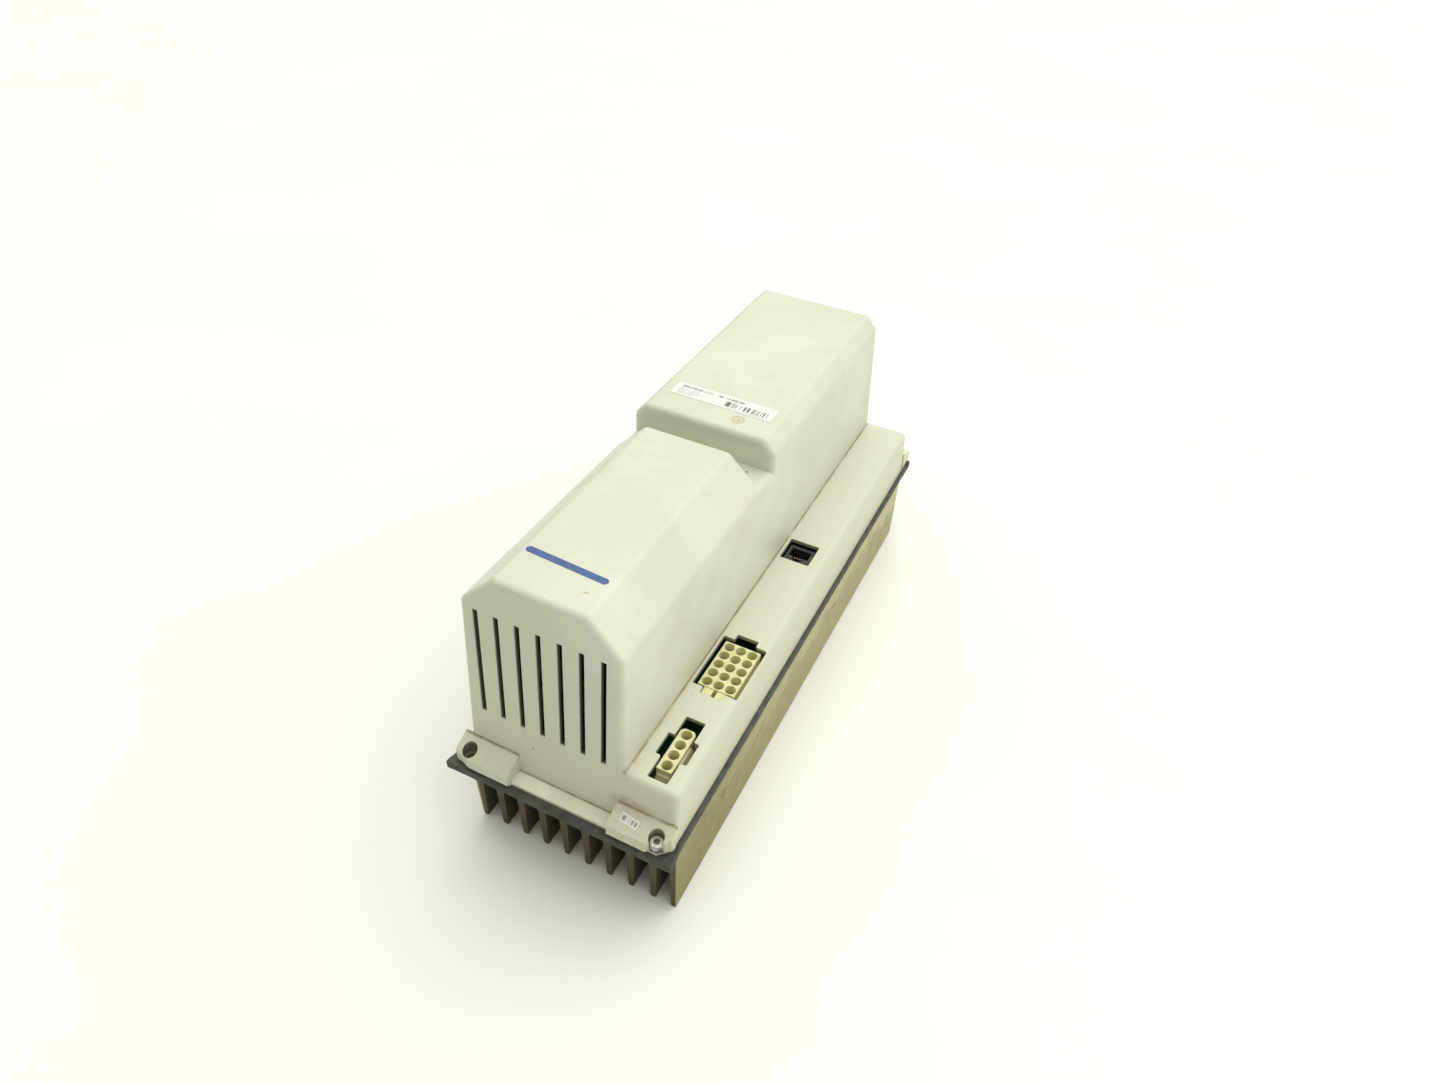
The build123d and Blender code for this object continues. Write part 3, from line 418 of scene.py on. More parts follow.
def heatsink_look():
    """Weathered extrusion; its outer sides are paler towards their top, with painted light towards the
    far end and painted shade towards the intake end and between the fins.
    """
    look = Look("heatsink_extrusion", Metallic=0.2, Specular_IOR_Level=0.3)
    olive, beige, far_light_tone = (0.345, 0.31, 0.155), (0.56, 0.52, 0.295), (0.60, 0.575, 0.36)
    drawn_tone, patch_tone = (0.32, 0.285, 0.16), (0.33, 0.255, 0.125)
    intake_shade, rim_brown, spot_brown = (0.22, 0.19, 0.07), (0.18, 0.15, 0.10), (0.20, 0.15, 0.09)
    fin_shade_dark, fin_dust_in_shade = (0.075, 0.058, 0.032), (0.125, 0.099, 0.057)

    waver = look.patches(0.05, 0.3, 0.7, 4, 0.6, 0.4, start=-9, end=9, place=look.stretch(1, 0.5, 1))
    pale = look.ease(look.math("ADD", look.z, waver), 24.0, 39.0)
    # Painted light: paler towards the far end.
    far_light = look.ease(look.y, -150.0, 120.0, 0.25, 1.0)
    pale = look.both(pale, look.math("ADD", 0.25, look.math("MULTIPLY", far_light, 0.75)))
    colour = look.mix(pale, olive, beige)
    colour = look.tint(colour, far_light, 0.3, far_light_tone)
    drawn = look.patches(0.9, 0.35, 0.70, 4, 0.65, 0.0, place=look.stretch(1, 0.02, 1))
    colour = look.tint(colour, drawn, 0.30, drawn_tone)
    patch = look.patches(0.045, 0.50, 0.68, 5, 0.62, 0.9, place=look.stretch(1, 0.6, 1.3))
    colour = look.tint(colour, patch, 0.55, patch_tone)
    # Painted shade: darker and browner towards the intake end.
    colour = look.tint(colour, look.ease(look.y, -45.0, -150.0), 0.5, intake_shade)
    colour = look.tint(colour, look.ease(look.z, 1.6, 0.2), 0.6, rim_brown)

    # Each stain on the right side: y, z, radius, how flat it is along each axis.
    for y, z, radius, flat in [
        (-118.3, 32.7, 2.2, (1, 0.7, 1.2)),
        (-116.8, 29.5, 1.3, (1, 0.9, 0.8)),
        (-137.6, 41.1, 1.1, (1, 1, 1)),
        (-62.0, 21.0, 0.9, (1, 0.5, 1)),
        (38.0, 30.0, 1.2, (1, 0.5, 1)),
    ]:
        spot = look.near(SINK_SIDE_X, y, z, radius, 1.0, flat)
        colour = look.tint(colour, spot, 0.6, spot_brown)

    # Between the fins: painted shade, dark brown, mottled with dust.
    inner = look.both(look.ease(look.x, 58.9, 58.4), look.ease(look.x, -56.0, -55.3))
    fin_shade = look.mix(look.patches(0.07, 0.30, 0.74, 5, 0.6), fin_shade_dark, fin_dust_in_shade)
    look.colour(look.tint(colour, inner, 0.92, fin_shade))
    look.rough_patches(0.12, 0.52, 0.70, 4, 0.6)
    look.relief(look.noise(1.6, 3, 0.6, 0.0, look.stretch(1, 0.015, 1)), 0.5, 0.05)
    look.relief(look.noise(0.4, 4, 0.7), 0.2, 0.05)
    return look


# ------------------------ sockets and the parts inside


def nylon_look():
    look = Look("aged_nylon", IOR=1.53, Subsurface_Weight=0.35, Subsurface_Scale=0.003)
    look.shader.inputs["Subsurface Radius"].default_value = (1.0, 0.8, 0.35)
    ivory, amber, cavity_shade = (0.80, 0.775, 0.47), (0.75, 0.70, 0.36), (0.56, 0.46, 0.20)
    ledge_tone, latch_tone, dust = (0.24, 0.185, 0.075), (0.52, 0.38, 0.13), (0.45, 0.37, 0.18)
    colour = look.mix(look.patches(0.14, 0.36, 0.66, 4, 0.6, 0.6), amber, ivory)

    # Painted shade in the contact cavities and the gaps round the bodies: darker and browner with
    # depth.
    colour = look.tint(colour, look.ease(look.z, 82.0, 75.0), 0.6, cavity_shade)

    # Darkest are the ledges beside the 4-way body, and next the latch of the 15-way body.
    beside_body = look.ease(look.off(look.x, 44.1), 4.4, 5.0)
    outside = look.either(beside_body, look.ease(look.y, -152.8, -153.6))
    ledge = look.both(outside, look.ease(look.y, -119.0, -120.0), look.ease(look.z, 83.0, 81.5))
    colour = look.tint(colour, ledge, 0.75, ledge_tone)
    latch = look.both(look.within(look.y, -112.0, -101.6, 0.5), look.ease(look.z, 84.6, 83.5))
    colour = look.tint(colour, latch, 0.6, latch_tone)
    look.colour(look.tint(colour, look.patches(0.6, 0.55, 0.75, 4, 0.7), 0.22, dust))
    look.rough_patches(0.5, 0.34, 0.52)
    look.relief(look.noise(0.9, 3, 0.6), 0.25, 0.04)
    return look


def metal_look(name, bright, dull, rough, tarnish=0.5):
    look = Look(name, Metallic=0.9)
    look.colour(look.tint(bright, look.patches(0.35, 0.35, 0.68, 4, 0.65, 0.4), tarnish, dull))
    look.rough_patches(0.8, rough - 0.08, rough + 0.12)
    look.relief(look.noise(1.2, 3, 0.6), 0.3, 0.03)
    return look


def plastic_look(name, colour, other, rough, grain=1.5, coat=0.0):
    look = Look(name, Coat_Weight=coat)
    look.colour(look.mix(look.patches(0.25, 0.38, 0.66, 4, 0.6), colour, other))
    look.rough_patches(0.5, rough - 0.06, rough + 0.08)
    look.relief(look.noise(grain, 3, 0.6), 0.25, 0.04)
    return look


def board_look():
    """Solder mask over copper tracks, with rows of pads."""
    look = Look("circuit_board", Coat_Weight=0.3)
    mask, track = (0.010, 0.060, 0.028), (0.020, 0.115, 0.050)
    solder, dust = (0.45, 0.44, 0.38), (0.16, 0.14, 0.09)
    in_plan = look.stretch(1, 1, 0)
    brick = look.node("ShaderNodeTexBrick", offset=0.37, squash=1.6, squash_frequency=3)
    look.join(in_plan, brick.inputs["Vector"])
    brick.inputs["Scale"].default_value = 0.16
    brick.inputs["Mortar Size"].default_value = 0.035
    tracks = brick.outputs["Fac"]
    colour = look.mix(tracks, mask, track)
    pads = look.ease(look.cells(0.28, in_plan), 0.16, 0.13)
    colour = look.mix(look.both(pads, look.patches(0.06, 0.50, 0.56, 2)), colour, solder)
    look.colour(look.tint(colour, look.patches(0.3, 0.5, 0.8, 4, 0.7), 0.25, dust))
    look.rough_patches(0.4, 0.32, 0.5)
    look.relief(tracks, 0.4, 0.05)
    return look


def capacitor_look():
    """Dark sleeve with a pale stripe down each can, and a bare aluminium top."""
    look = Look("capacitor_sleeve")
    dark, less_dark = (0.012, 0.014, 0.024), (0.022, 0.025, 0.036)
    stripe_tone, aluminium = (0.42, 0.42, 0.40), (0.62, 0.62, 0.60)
    top = look.ease(look.z, 157.4, 157.9)
    look.join(look.math("MULTIPLY", top, 0.9), look.shader.inputs["Metallic"])
    sleeve = look.mix(look.patches(0.1, 0.4, 0.6), dark, less_dark)
    stripe = look.within(look.off(look.x, -12.75), 1.2, 4.5, 0.3)
    sleeve = look.tint(sleeve, stripe, 0.8, stripe_tone)
    look.colour(look.mix(top, sleeve, aluminium))
    look.rough_patches(0.3, 0.28, 0.42)
    look.relief(look.noise(0.6, 3, 0.5), 0.2, 0.05)
    return look


def winding_look():
    """Enamelled copper wire, in rings about the coil's upright axis."""
    look = Look("copper_winding", Metallic=0.75)
    dark, bright = (0.46, 0.17, 0.06), (0.62, 0.28, 0.11)
    look.colour(look.mix(look.patches(0.5, 0.35, 0.65), dark, bright))
    wires = look.node("ShaderNodeTexWave", bands_direction="Z")
    look.join(look.place, wires.inputs["Vector"])
    wires.inputs["Scale"].default_value = 0.45
    look.rough(look.ease(wires.outputs["Fac"], 0.0, 1.0, 0.45, 0.25))
    look.relief(wires.outputs["Fac"], 0.6, 0.15)
    return look


# ------------------------ printed labels: bars only, no lettering


def label_look(name, centre, turn, half_size, bars, stripes=None):
    """Paper with grey bars and, if given, a patch of upright stripes.

    u and v run along and across the label, in mm from its centre. Each bar is
    (u low, u high, v low, v high, darkness), and stripes is (u low, u high, v low, v high, pitch).
    """
    look = Look(name)
    paper, other_paper = (0.80, 0.81, 0.76), (0.88, 0.89, 0.85)
    bar_ink, stripe_ink = (0.10, 0.10, 0.10), (0.05, 0.05, 0.05)
    grime_tone, edge_tone = (0.50, 0.46, 0.33), (0.45, 0.42, 0.32)
    moved = look.node("ShaderNodeMapping", vector_type="TEXTURE")
    look.join(look.place, moved.inputs["Vector"])
    moved.inputs["Location"].default_value = centre
    moved.inputs["Rotation"].default_value = (0, 0, math.radians(turn))
    split = look.node("ShaderNodeSeparateXYZ")
    look.join(moved.outputs[0], split.inputs[0])
    u, v, _ = split.outputs

    def chance(pitch):
        """A random value for each step of that pitch along u."""
        drawn = look.node("ShaderNodeTexWhiteNoise", noise_dimensions="1D")
        look.join(look.math("FLOOR", look.math("DIVIDE", u, pitch)), drawn.inputs["W"])
        return drawn.outputs[0]

    def area(low_u, high_u, low_v, high_v, soft):
        return look.both(look.within(u, low_u, high_u, soft), look.within(v, low_v, high_v, soft))

    colour = look.mix(look.patches(0.12, 0.35, 0.7, 4, 0.6), paper, other_paper)
    dashes = look.ease(chance(0.6), 0.15, 0.30, 0.15, 1.0)
    for *limits, dark in bars:
        colour = look.tint(colour, look.both(area(*limits, 0.12), dashes), dark, bar_ink)
    if stripes:
        *limits, pitch = stripes
        inked = look.math("GREATER_THAN", chance(pitch), 0.48)
        colour = look.tint(colour, look.both(area(*limits, 0.05), inked), 0.88, stripe_ink)
    colour = look.tint(colour, look.patches(0.35, 0.58, 0.78, 4, 0.7), 0.22, grime_tone)
    off_u, off_v = look.math("ABSOLUTE", u), look.math("ABSOLUTE", v)
    half_u, half_v = half_size
    rim = look.either(look.ease(off_u, half_u - 0.5, half_u), look.ease(off_v, half_v - 0.5, half_v))
    look.colour(look.tint(colour, rim, 0.35, edge_tone))
    look.rough_patches(0.3, 0.32, 0.48)
    look.relief(look.noise(0.8, 3, 0.5), 0.2, 0.03)
    return look


# ------------------------ give every CAD node its look

cover = cover_look()
rubber = rubber_look()
nylon = nylon_look()
zinc = metal_look("zinc_screws", (0.66, 0.65, 0.60), (0.34, 0.32, 0.27), 0.34)
steel = metal_look("ground_steel", (0.70, 0.70, 0.69), (0.55, 0.54, 0.52), 0.2, tarnish=0.3)
sheet_steel = metal_look("bracket_sheet", (0.62, 0.62, 0.59), (0.46, 0.45, 0.41), 0.36)
brass = metal_look("turned_brass", (0.72, 0.55, 0.24), (0.48, 0.34, 0.14), 0.28)
tinned = metal_look("tinned_contacts", (0.66, 0.62, 0.50), (0.46, 0.38, 0.22), 0.3)
gold = metal_look("gold_springs", (0.90, 0.66, 0.26), (0.66, 0.45, 0.16), 0.2, tarnish=0.3)
board = board_look()
epoxy = plastic_look("chip_epoxy", (0.016, 0.016, 0.017), (0.028, 0.027, 0.026), 0.5)
case = plastic_look("module_case", (0.020, 0.020, 0.022), (0.034, 0.033, 0.033), 0.45)
fan_plastic = plastic_look("fan_plastic", (0.014, 0.014, 0.014), (0.050, 0.045, 0.036), 0.5)
jack_plastic = plastic_look(
    "jack_plastic", (0.018, 0.018, 0.016), (0.040, 0.038, 0.032), 0.38, coat=0.2
)
silicone = plastic_look("silicone_pad", (0.44, 0.46, 0.49), (0.52, 0.54, 0.56), 0.7)
ferrite = plastic_look("ferrite", (0.035, 0.035, 0.038), (0.060, 0.058, 0.058), 0.6, grain=0.8)
tape = plastic_look("winding_tape", (0.66, 0.50, 0.05), (0.58, 0.42, 0.04), 0.3, coat=0.4)
rating = label_look(
    "rating_label_print",
    centre=(-12.1, 16.0, TOP_Z),
    turn=-0.8,
    half_size=(30.0, 6.1),
    bars=[
        (-26.5, -8.0, 2.2, 4.0, 0.62),
        (-4.5, 11.5, 2.2, 4.0, 0.62),
        (-26.5, -15.0, 0.3, 0.8, 0.45),
        (-26.5, -10.5, -1.3, -0.8, 0.45),
        (-26.5, -13.0, -2.9, -2.4, 0.45),
        (-26.5, -17.5, -4.4, -3.9, 0.45),
        (4.0, 25.0, -5.2, -4.7, 0.45),
    ],
    stripes=(1.5, 26.5, -3.9, 0.6, 0.42),
)
lug_paper = label_look(
    "lug_label_print",
    centre=(36.7, -171.2, 64.0),
    turn=-6.0,
    half_size=(4.9, 2.1),
    bars=[
        (low_u, high_u, -0.9, 0.9, 0.7)
        for low_u, high_u in [(-3.8, -2.2), (-1.6, 0.1), (0.7, 2.1), (2.6, 4.0)]
    ],
)

looks = {
    "cover": cover,
    "gasket": rubber,
    "flange_plate": plate_look(),
    "heatsink": heatsink_look(),
    "motor_connector": nylon,
    "signal_connector": nylon,
    "motor_contacts": tinned,
    "signal_contacts": tinned,
    "network_jack": jack_plastic,
    "jack_contacts": gold,
    "rating_label": rating,
    "lug_label": lug_paper,
    "power_board": board,
    "control_board": board,
    "power_board_standoffs": brass,
    "control_board_standoffs": brass,
    "control_chips": epoxy,
    "board_link": epoxy,
    "thermal_pads": silicone,
    "inverter_module": case,
    "rectifier_bridge": case,
    "charging_relay": case,
    "current_sensors": case,
    "link_capacitors": capacitor_look(),
    "choke_core": ferrite,
    "transformer_core": ferrite,
    "choke_windings": winding_look(),
    "transformer_winding": tape,
    "fan_bracket": sheet_steel,
    "fan_frame": fan_plastic,
    "fan_rotor": fan_plastic,
    "fan_bearings": steel,
    "fan_shaft": steel,
}
for name, thing in cad.items():
    wear(thing, looks.get(name, zinc))  # every node without an entry is a set of screws


# ------------------------ added pieces


def place_mesh(name, mesh, look=None):
    """Puts a finished bmesh into the scene as an object."""
    data = bpy.data.meshes.new(name)
    mesh.to_mesh(data)
    mesh.free()
    thing = bpy.data.objects.new(name, data)
    bpy.context.scene.collection.objects.link(thing)
    if look:
        wear(thing, look)
    return thing


def new_piece(name, mesh, look):
    """A piece of the visual model, riding on the housing."""
    thing = place_mesh(name, mesh, look)
    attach(thing, "housing")
    return thing


def smooth_sides(mesh, limit):
    """Smooth shading, with an edge kept hard where its faces turn more than limit degrees."""
    for face in mesh.faces:
        face.smooth = True
    for edge in mesh.edges:
        if len(edge.link_faces) == 2 and edge.calc_face_angle(0) > math.radians(limit):
            edge.smooth = False


def add_turned(mesh, profile, centre, sides, knurled=(), knurl_depth=0.12):
    """Adds a solid of revolution from (radius, z) points, closed at both ends.

    The points whose numbers are in knurled get ridges round them.
    """
    rings = []
    for number, (radius, z) in enumerate(profile):
        ring = []
        for n in range(sides):
            r = radius - (knurl_depth * (n % 2) if number in knurled else 0)
            angle = 2 * math.pi * n / sides
            x, y = centre[0] + r * math.cos(angle), centre[1] + r * math.sin(angle)
            ring.append(mesh.verts.new((x * MM, y * MM, z * MM)))
        rings.append(ring)
    for below, above in zip(rings, rings[1:]):
        for n in range(sides):
            after = (n + 1) % sides
            mesh.faces.new((below[n], below[after], above[after], above[n]))
    mesh.faces.new(reversed(rings[0]))
    mesh.faces.new(rings[-1])


# ---- the socket-head screw that was left in the front right lug

SCREW_X, SCREW_Y = FRONT_RIGHT_HOLE[0] + 0.2, FRONT_RIGHT_HOLE[1] - 0.1
SCREW_SEAT, SCREW_TIP = 57.55, 46.0
HEX_HALF, HEX_DEPTH, HEX_TURN = 1.5, 1.6, math.radians(17)
THREAD_PITCH, THREAD_ROOT, THREAD_CREST = 0.7, 1.62, 1.98


def sink_hexagon(mesh, top):
    """Pulls the rim of a flat top in to a hexagon, and sinks it."""
    bmesh.ops.inset_region(mesh, faces=[top], thickness=0.15 * MM)
    for vert in top.verts:
        angle = math.atan2(vert.co.y - SCREW_Y * MM, vert.co.x - SCREW_X * MM) + HEX_TURN
        sector = (angle % (math.pi / 3)) - math.pi / 6
        reach = HEX_HALF * MM / math.cos(sector)
        vert.co.x = SCREW_X * MM + reach * math.cos(angle - HEX_TURN)
        vert.co.y = SCREW_Y * MM + reach * math.sin(angle - HEX_TURN)
    sunk = bmesh.ops.extrude_face_region(mesh, geom=[top])
    for item in sunk["geom"]:
        if isinstance(item, bmesh.types.BMVert):
            item.co.z -= HEX_DEPTH * MM
    bmesh.ops.delete(mesh, geom=[top], context="FACES_ONLY")


def loose_screw():
    mesh = bmesh.new()
    head = [(3.35, 0), (3.5, 0.15), (3.5, 2.3), (3.1, 2.75), (2.0, 2.8)]
    head = [(radius, SCREW_SEAT + z) for radius, z in head]
    add_turned(mesh, head, (SCREW_X, SCREW_Y), 48, knurled=(1, 2))
    sink_hexagon(mesh, max(mesh.faces, key=lambda face: face.calc_center_median().z))
    # The thread: rings that swell and shrink once per pitch.
    shank = [(1.2, SCREW_TIP - 0.4)]
    z = SCREW_TIP
    while z < SCREW_SEAT + 0.1:
        shank += [(THREAD_ROOT, z), (THREAD_CREST, z + THREAD_PITCH / 2)]
        z += THREAD_PITCH
    add_turned(mesh, shank, (SCREW_X, SCREW_Y), 24)
    smooth_sides(mesh, 32)
    new_piece("loose_screw", mesh, screw_look())


def screw_look():
    """Worn zinc, with grime in the socket and low on the head."""
    look = Look("left_screw", Metallic=0.85)
    dull, bright, dirt = (0.60, 0.58, 0.50), (0.80, 0.79, 0.74), (0.13, 0.11, 0.07)
    colour = look.mix(look.patches(0.9, 0.35, 0.65), dull, bright)
    from_axis = look.distance(*FRONT_RIGHT_HOLE, 0, flat=(1, 1, 0))
    socket = look.both(look.ease(from_axis, 1.75, 1.4), look.ease(look.z, 60.3, 59.8))
    low_dirt = look.patches(0.7, 0.50, 0.66, 4, 0.7)
    low_dirt = look.both(low_dirt, look.ease(look.z, 60.2, 58.6, 0.4, 1.0))
    look.colour(look.tint(colour, look.either(socket, low_dirt), 0.8, dirt))
    look.rough_patches(1.1, 0.24, 0.48)
    look.relief(look.noise(1.5, 3, 0.6), 0.3, 0.05)
    return look


loose_screw()


# ---- the gasket as it lies: hand-cut, swollen where nothing clamps it, its front corners pulled out

FRONT, RIGHT, REAR, LEFT = range(4)
RING_GAP = 1.25  # along the outline
RIM_WIDTH = 12.5
EDGE_SHARE = 0.9  # the cut edge begins this far out
# Section of the rim, out along the underside and back over the top:
# (share of the way out, share of the thickness).
RIM_SECTION = [
    *[(out, 0) for out in (0, 0.28, 0.36, 0.45, 0.7, 0.93)],
    *[(0.985, 0.05), (1, 0.18), (1, 0.5), (1, 0.85), (0.985, 0.97)],
    *[(out, 1) for out in (0.93, 0.905, 0.895, 0.8, 0.5, 0)],
]


def swell(past, reach):
    """0 before the start, rising smoothly to 1 over reach."""
    t = min(1.0, max(0.0, past / reach))
    return t * t * (3 - 2 * t)


def rim_path(half_x, half_y):
    """Points round the outline, each with its side."""
    corners = [(-half_x, -half_y), (half_x, -half_y), (half_x, half_y), (-half_x, half_y)]
    path = []
    for side in (FRONT, RIGHT, REAR, LEFT):
        a, b = Vector(corners[side]), Vector(corners[(side + 1) % 4])
        count = round((b - a).length / RING_GAP)
        path += [(a.lerp(b, k / count), side) for k in range(count)]
    return path


def rim_inside(place, side, half_x, half_y):
    """The point of the inner edge that goes with a point of the outline."""
    if side in (FRONT, REAR):
        across = RIM_WIDTH if place.y < 0 else -RIM_WIDTH
        return Vector((place.x * (half_x - RIM_WIDTH) / half_x, place.y + across))
    across = RIM_WIDTH if place.x < 0 else -RIM_WIDTH
    return Vector((place.x + across, place.y * (half_y - RIM_WIDTH) / half_y))


def gasket_sheet():
    low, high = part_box("gasket")
    low, high = low / MM, high / MM
    half_x, half_y = high.x, high.y
    front_left, front_right = Vector((-half_x, -half_y)), Vector((half_x, -half_y))
    sink_low, sink_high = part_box("heatsink")
    sink_front, sink_rear = sink_low.y / MM, sink_high.y / MM
    sink_left, sink_right = sink_low.x / MM, sink_high.x / MM
    mesh = bmesh.new()
    rings = []
    for place, side in rim_path(half_x, half_y):
        long_side = side in (RIGHT, LEFT)
        inside = rim_inside(place, side, half_x, half_y)
        outward = (place - inside).normalized()
        ring = []
        for out, height in RIM_SECTION:
            spot = inside.lerp(place, out)
            edge = max(0.0, (out - EDGE_SHARE) / (1 - EDGE_SHARE))
            # Cut by hand: rough in detail, and wavering along its length.
            fine = noise.noise(Vector((place.x * 0.35, place.y * 0.35, height * 1.2)))
            broad = noise.noise(Vector((place.x * 0.05, place.y * 0.05, 3.0)))
            spot += outward * edge * (0.16 * fine + 0.3 * broad - 0.1)
            # Past the heatsink nothing clamps it: it swells downwards, most at the front.
            front_swell = swell(sink_front - 0.4 - spot.y, 1.8) * 1.9
            rear_swell = swell(spot.y - sink_rear - 0.4, 1.8) * 1.2
            droop = max(front_swell, rear_swell)
            if long_side:
                beyond = spot.x - sink_right if spot.x > 0 else sink_left - spot.x
                droop = max(droop, 1.5 * swell(beyond - 0.15, 0.5))
                spot.x += math.copysign(0.35 * edge, spot.x)
            z = low.z + (high.z - low.z) * height - droop * (1 - height)
            spot.y -= 0.5 * swell(sink_front - 6 - spot.y, 3.0)
            z += edge * 0.25 * noise.noise(Vector((place.x * 0.06, place.y * 0.06, 7.0)))
            # Along the long sides it bulges up beside the plate.
            if long_side:
                bulge = swell(out - 0.895, 0.01) * swell(171.0 - abs(place.y), 5.0)
                z += 1.75 * height * bulge
            # Front left corner, pulled out and up; front right corner, squeezed out sideways.
            left = max(0.0, 1 - (front_left - spot).length / 19.0) ** 1.15
            right = max(0.0, 1 - (front_right - spot).length / 16.0) ** 1.3
            spot += Vector((-3.3, -0.9)) * left * out + Vector((1.3, -0.2)) * right * out
            z += 0.8 * left * out + 0.3 * right * out
            # Torn beside the broken lug.
            if side == FRONT and 38.0 < place.x < 58.0 and height > 0.3:
                tear = max(0.0, noise.noise(Vector((place.x * 0.6, 11.0, 0.0))))
                spot.y += edge * 0.9 * tear
            ring.append(mesh.verts.new((spot.x * MM, spot.y * MM, z * MM)))
        rings.append(ring)
    for here, there in zip(rings, rings[1:] + rings[:1]):
        for k in range(len(RIM_SECTION)):
            after = (k + 1) % len(RIM_SECTION)
            mesh.faces.new((here[k], there[k], there[after], here[after]))
    bmesh.ops.recalc_face_normals(mesh, faces=mesh.faces[:])
    smooth_sides(mesh, 50)
    sheet = new_piece("gasket_sheet", mesh, rubber)
    cut_round(sheet, LUG_HOLES, HOLE_R, low.z - 6, high.z + 3)
    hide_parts("gasket")


def cut_round(thing, places, radius, low, high):
    """Cuts round holes through a piece, and leaves no modifier on it."""
    drill = bmesh.new()
    for place in places:
        add_turned(drill, [(radius, low), (radius, high)], place, 32)
    tool = place_mesh("drill", drill)
    cut = thing.modifiers.new("holes", "BOOLEAN")
    cut.operation, cut.object, cut.solver = "DIFFERENCE", tool, "EXACT"
    bpy.context.view_layer.update()
    depsgraph = bpy.context.evaluated_depsgraph_get()
    shaped = bpy.data.meshes.new_from_object(thing.evaluated_get(depsgraph))
    thing.modifiers.clear()
    thing.data = shaped
    bpy.data.objects.remove(tool)


gasket_sheet()


def lug_splinters():
    """Bits of moulding that hang on where the front right lug broke."""
    draw = random.Random(7)
    mesh = bmesh.new()
    for x, y, z, size in [
        (50.1, -175.4, 58.2, 0.85),
        (52.6, -175.3, 58.4, 0.95),
        (48.7, -175.9, 58.0, 0.7),
        (56.0, -173.2, 57.6, 0.7),
    ]:
        points = []
        for _ in range(14):
            ray = Vector([draw.uniform(-1, 1) for _ in range(3)]).normalized()
            tall = 1.5 if ray.z < 0 else 0.8
            spread = Vector((0.55, 0.6, tall)) * size * draw.uniform(0.75, 1.0)
            corner = (x + ray.x * spread.x, y + ray.y * spread.y, z + ray.z * spread.z)
            points.append(mesh.verts.new(tuple(value * MM for value in corner)))
        hull = bmesh.ops.convex_hull(mesh, input=points)
        buried = [item for item in hull["geom_interior"] if isinstance(item, bmesh.types.BMVert)]
        bmesh.ops.delete(mesh, geom=buried, context="VERTS")
    bmesh.ops.recalc_face_normals(mesh, faces=mesh.faces[:])
    new_piece("lug_splinters", mesh, cover)


lug_splinters()


def print_look():
    look = Look("blue_print")
    dark, pale = (0.055, 0.105, 0.27), (0.085, 0.145, 0.33)
    look.colour(look.mix(look.patches(0.5, 0.35, 0.7, 4, 0.6), dark, pale))
    look.rough_patches(0.6, 0.35, 0.5)
    look.relief(look.noise(2.2, 3, 0.6), 0.25, 0.02)
    return look


def hump_mark():
    """A plain blue printed bar with round ends on the hump's flat top."""
    centre, half, turn = Vector((-13.5, -132.8)), Vector((21.5, 1.9)), math.radians(-3.2)
    top_z, thick, steps = TOP_Z + 0.03, 0.05, 10
    mesh = bmesh.new()
    outline = []
    for end, start in ((1, -90), (-1, 90)):
        for n in range(steps + 1):
            angle = math.radians(start + 180 * n / steps)
            u = end * (half.x - half.y) + half.y * math.cos(angle)
            v = half.y * math.sin(angle)
            x = centre.x + u * math.cos(turn) - v * math.sin(turn)
            y = centre.y + u * math.sin(turn) + v * math.cos(turn)
            outline.append(mesh.verts.new((x * MM, y * MM, top_z * MM)))
    base = bmesh.ops.extrude_face_region(mesh, geom=[mesh.faces.new(outline)])
    for item in base["geom"]:
        if isinstance(item, bmesh.types.BMVert):
            item.co.z -= thick * MM
    bmesh.ops.recalc_face_normals(mesh, faces=mesh.faces[:])
    new_piece("hump_mark", mesh, print_look())


hump_mark()


# ------------------------ floor, light and camera


def floor():
    half_width = 4.0  # metres
    mesh = bmesh.new()
    bmesh.ops.create_grid(mesh, x_segments=2, y_segments=2, size=half_width)
    look = Look("floor_paper")
    warm, pale = (0.91, 0.915, 0.85), (0.925, 0.93, 0.87)
    look.colour(look.mix(look.patches(0.004, 0.3, 0.7), warm, pale))
    look.rough_patches(0.02, 0.5, 0.6)
    place_mesh("floor", mesh, look)


def key_light():
    """One broad light from above, a little to the right and behind."""
    light = bpy.data.lights.new("key", "SUN")
    light.energy, light.angle, light.color = 0.95, math.radians(75), (0.97, 0.98, 1.0)
    thing = bpy.data.objects.new("key", light)
    bpy.context.scene.collection.objects.link(thing)
    shines = Vector((-0.35, -0.32, -0.88))
    thing.rotation_euler = shines.to_track_quat("-Z", "Y").to_euler()


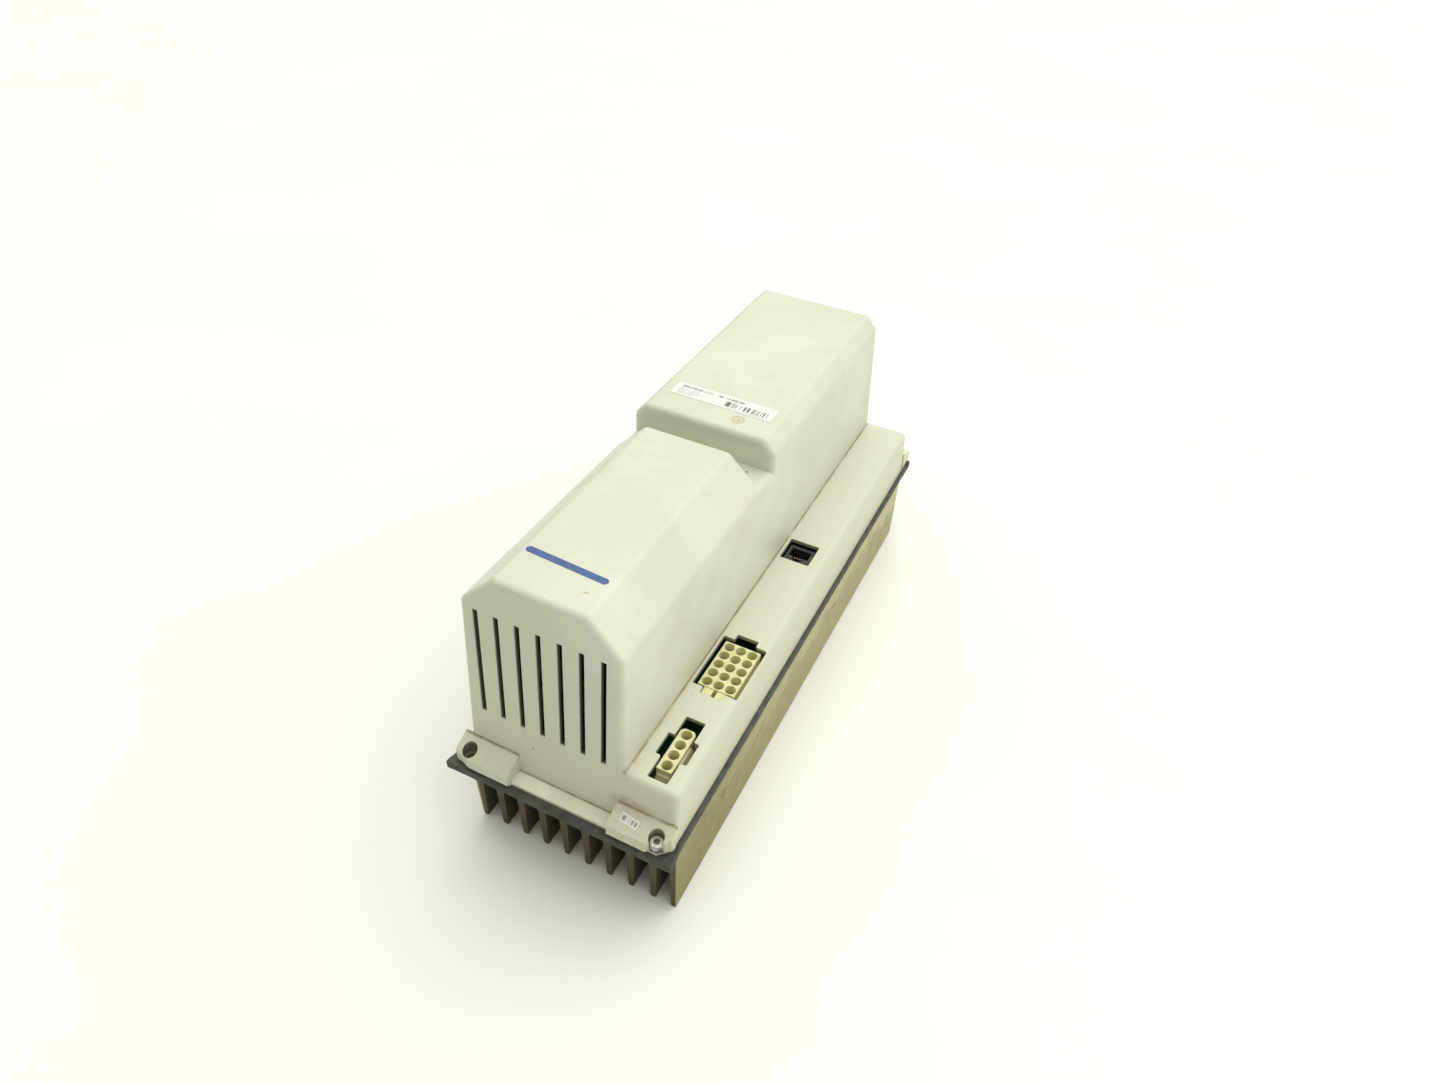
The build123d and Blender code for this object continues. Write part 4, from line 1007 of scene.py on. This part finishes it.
def studio():
    """The room: its light is strongest overhead and behind the drive, and weak in front of it.

    The camera itself sees a plain pale background.
    """
    brightest, level, least = (0.06, 0.56, 0.99), 0.26, 0.06
    light_colour, seen_colour = (1.0, 1.0, 0.93, 1.0), (0.97, 0.975, 0.94, 1.0)
    world = bpy.data.worlds.new("studio")
    bpy.context.scene.world = world
    world.use_nodes = True
    tree = world.node_tree
    direction = tree.nodes.new("ShaderNodeTexCoord")
    lean = tree.nodes.new("ShaderNodeVectorMath")
    lean.operation = "DOT_PRODUCT"
    lean.inputs[1].default_value = brightest
    tree.links.new(direction.outputs["Generated"], lean.inputs[0])
    strength = lean.outputs["Value"]
    for operation, number in (("ADD", level), ("MAXIMUM", least)):
        step = tree.nodes.new("ShaderNodeMath")
        step.operation = operation
        step.inputs[1].default_value = number
        tree.links.new(strength, step.inputs[0])
        strength = step.outputs[0]
    room = tree.nodes["Background"]
    room.inputs["Color"].default_value = light_colour
    tree.links.new(strength, room.inputs["Strength"])
    plain = tree.nodes.new("ShaderNodeBackground")
    plain.inputs["Color"].default_value = seen_colour
    ray = tree.nodes.new("ShaderNodeLightPath")
    either = tree.nodes.new("ShaderNodeMixShader")
    tree.links.new(ray.outputs["Is Camera Ray"], either.inputs["Fac"])
    tree.links.new(room.outputs[0], either.inputs[1])
    tree.links.new(plain.outputs[0], either.inputs[2])
    tree.links.new(either.outputs[0], tree.nodes["World Output"].inputs["Surface"])
    bpy.context.scene.view_settings.view_transform = "Standard"


def photo_camera():
    """Looks down along the drive from beyond its intake end."""
    stands = (0.1695, -0.3755, 0.4416)  # metres
    azimuth, elevation, roll = math.radians(24.51), math.radians(40.78), math.radians(2.77)
    data = bpy.data.cameras.new("camera")
    data.sensor_width, data.lens = 36.0, 23.56
    data.clip_start, data.clip_end = 0.01, 50.0
    thing = bpy.data.objects.new("camera", data)
    bpy.context.scene.collection.objects.link(thing)
    cos_a, sin_a, cos_e = math.cos(azimuth), math.sin(azimuth), math.cos(elevation)
    ahead = Vector((-sin_a * cos_e, cos_a * cos_e, -math.sin(elevation)))
    level = Vector((cos_a, sin_a, 0))
    above = level.cross(ahead)
    right = level * math.cos(roll) + above * math.sin(roll)
    up = above * math.cos(roll) - level * math.sin(roll)
    turn = Matrix((right, up, -ahead)).transposed().to_4x4()
    thing.matrix_world = Matrix.Translation(stands) @ turn
    bpy.context.scene.camera = thing


floor()
key_light()
studio()
photo_camera()
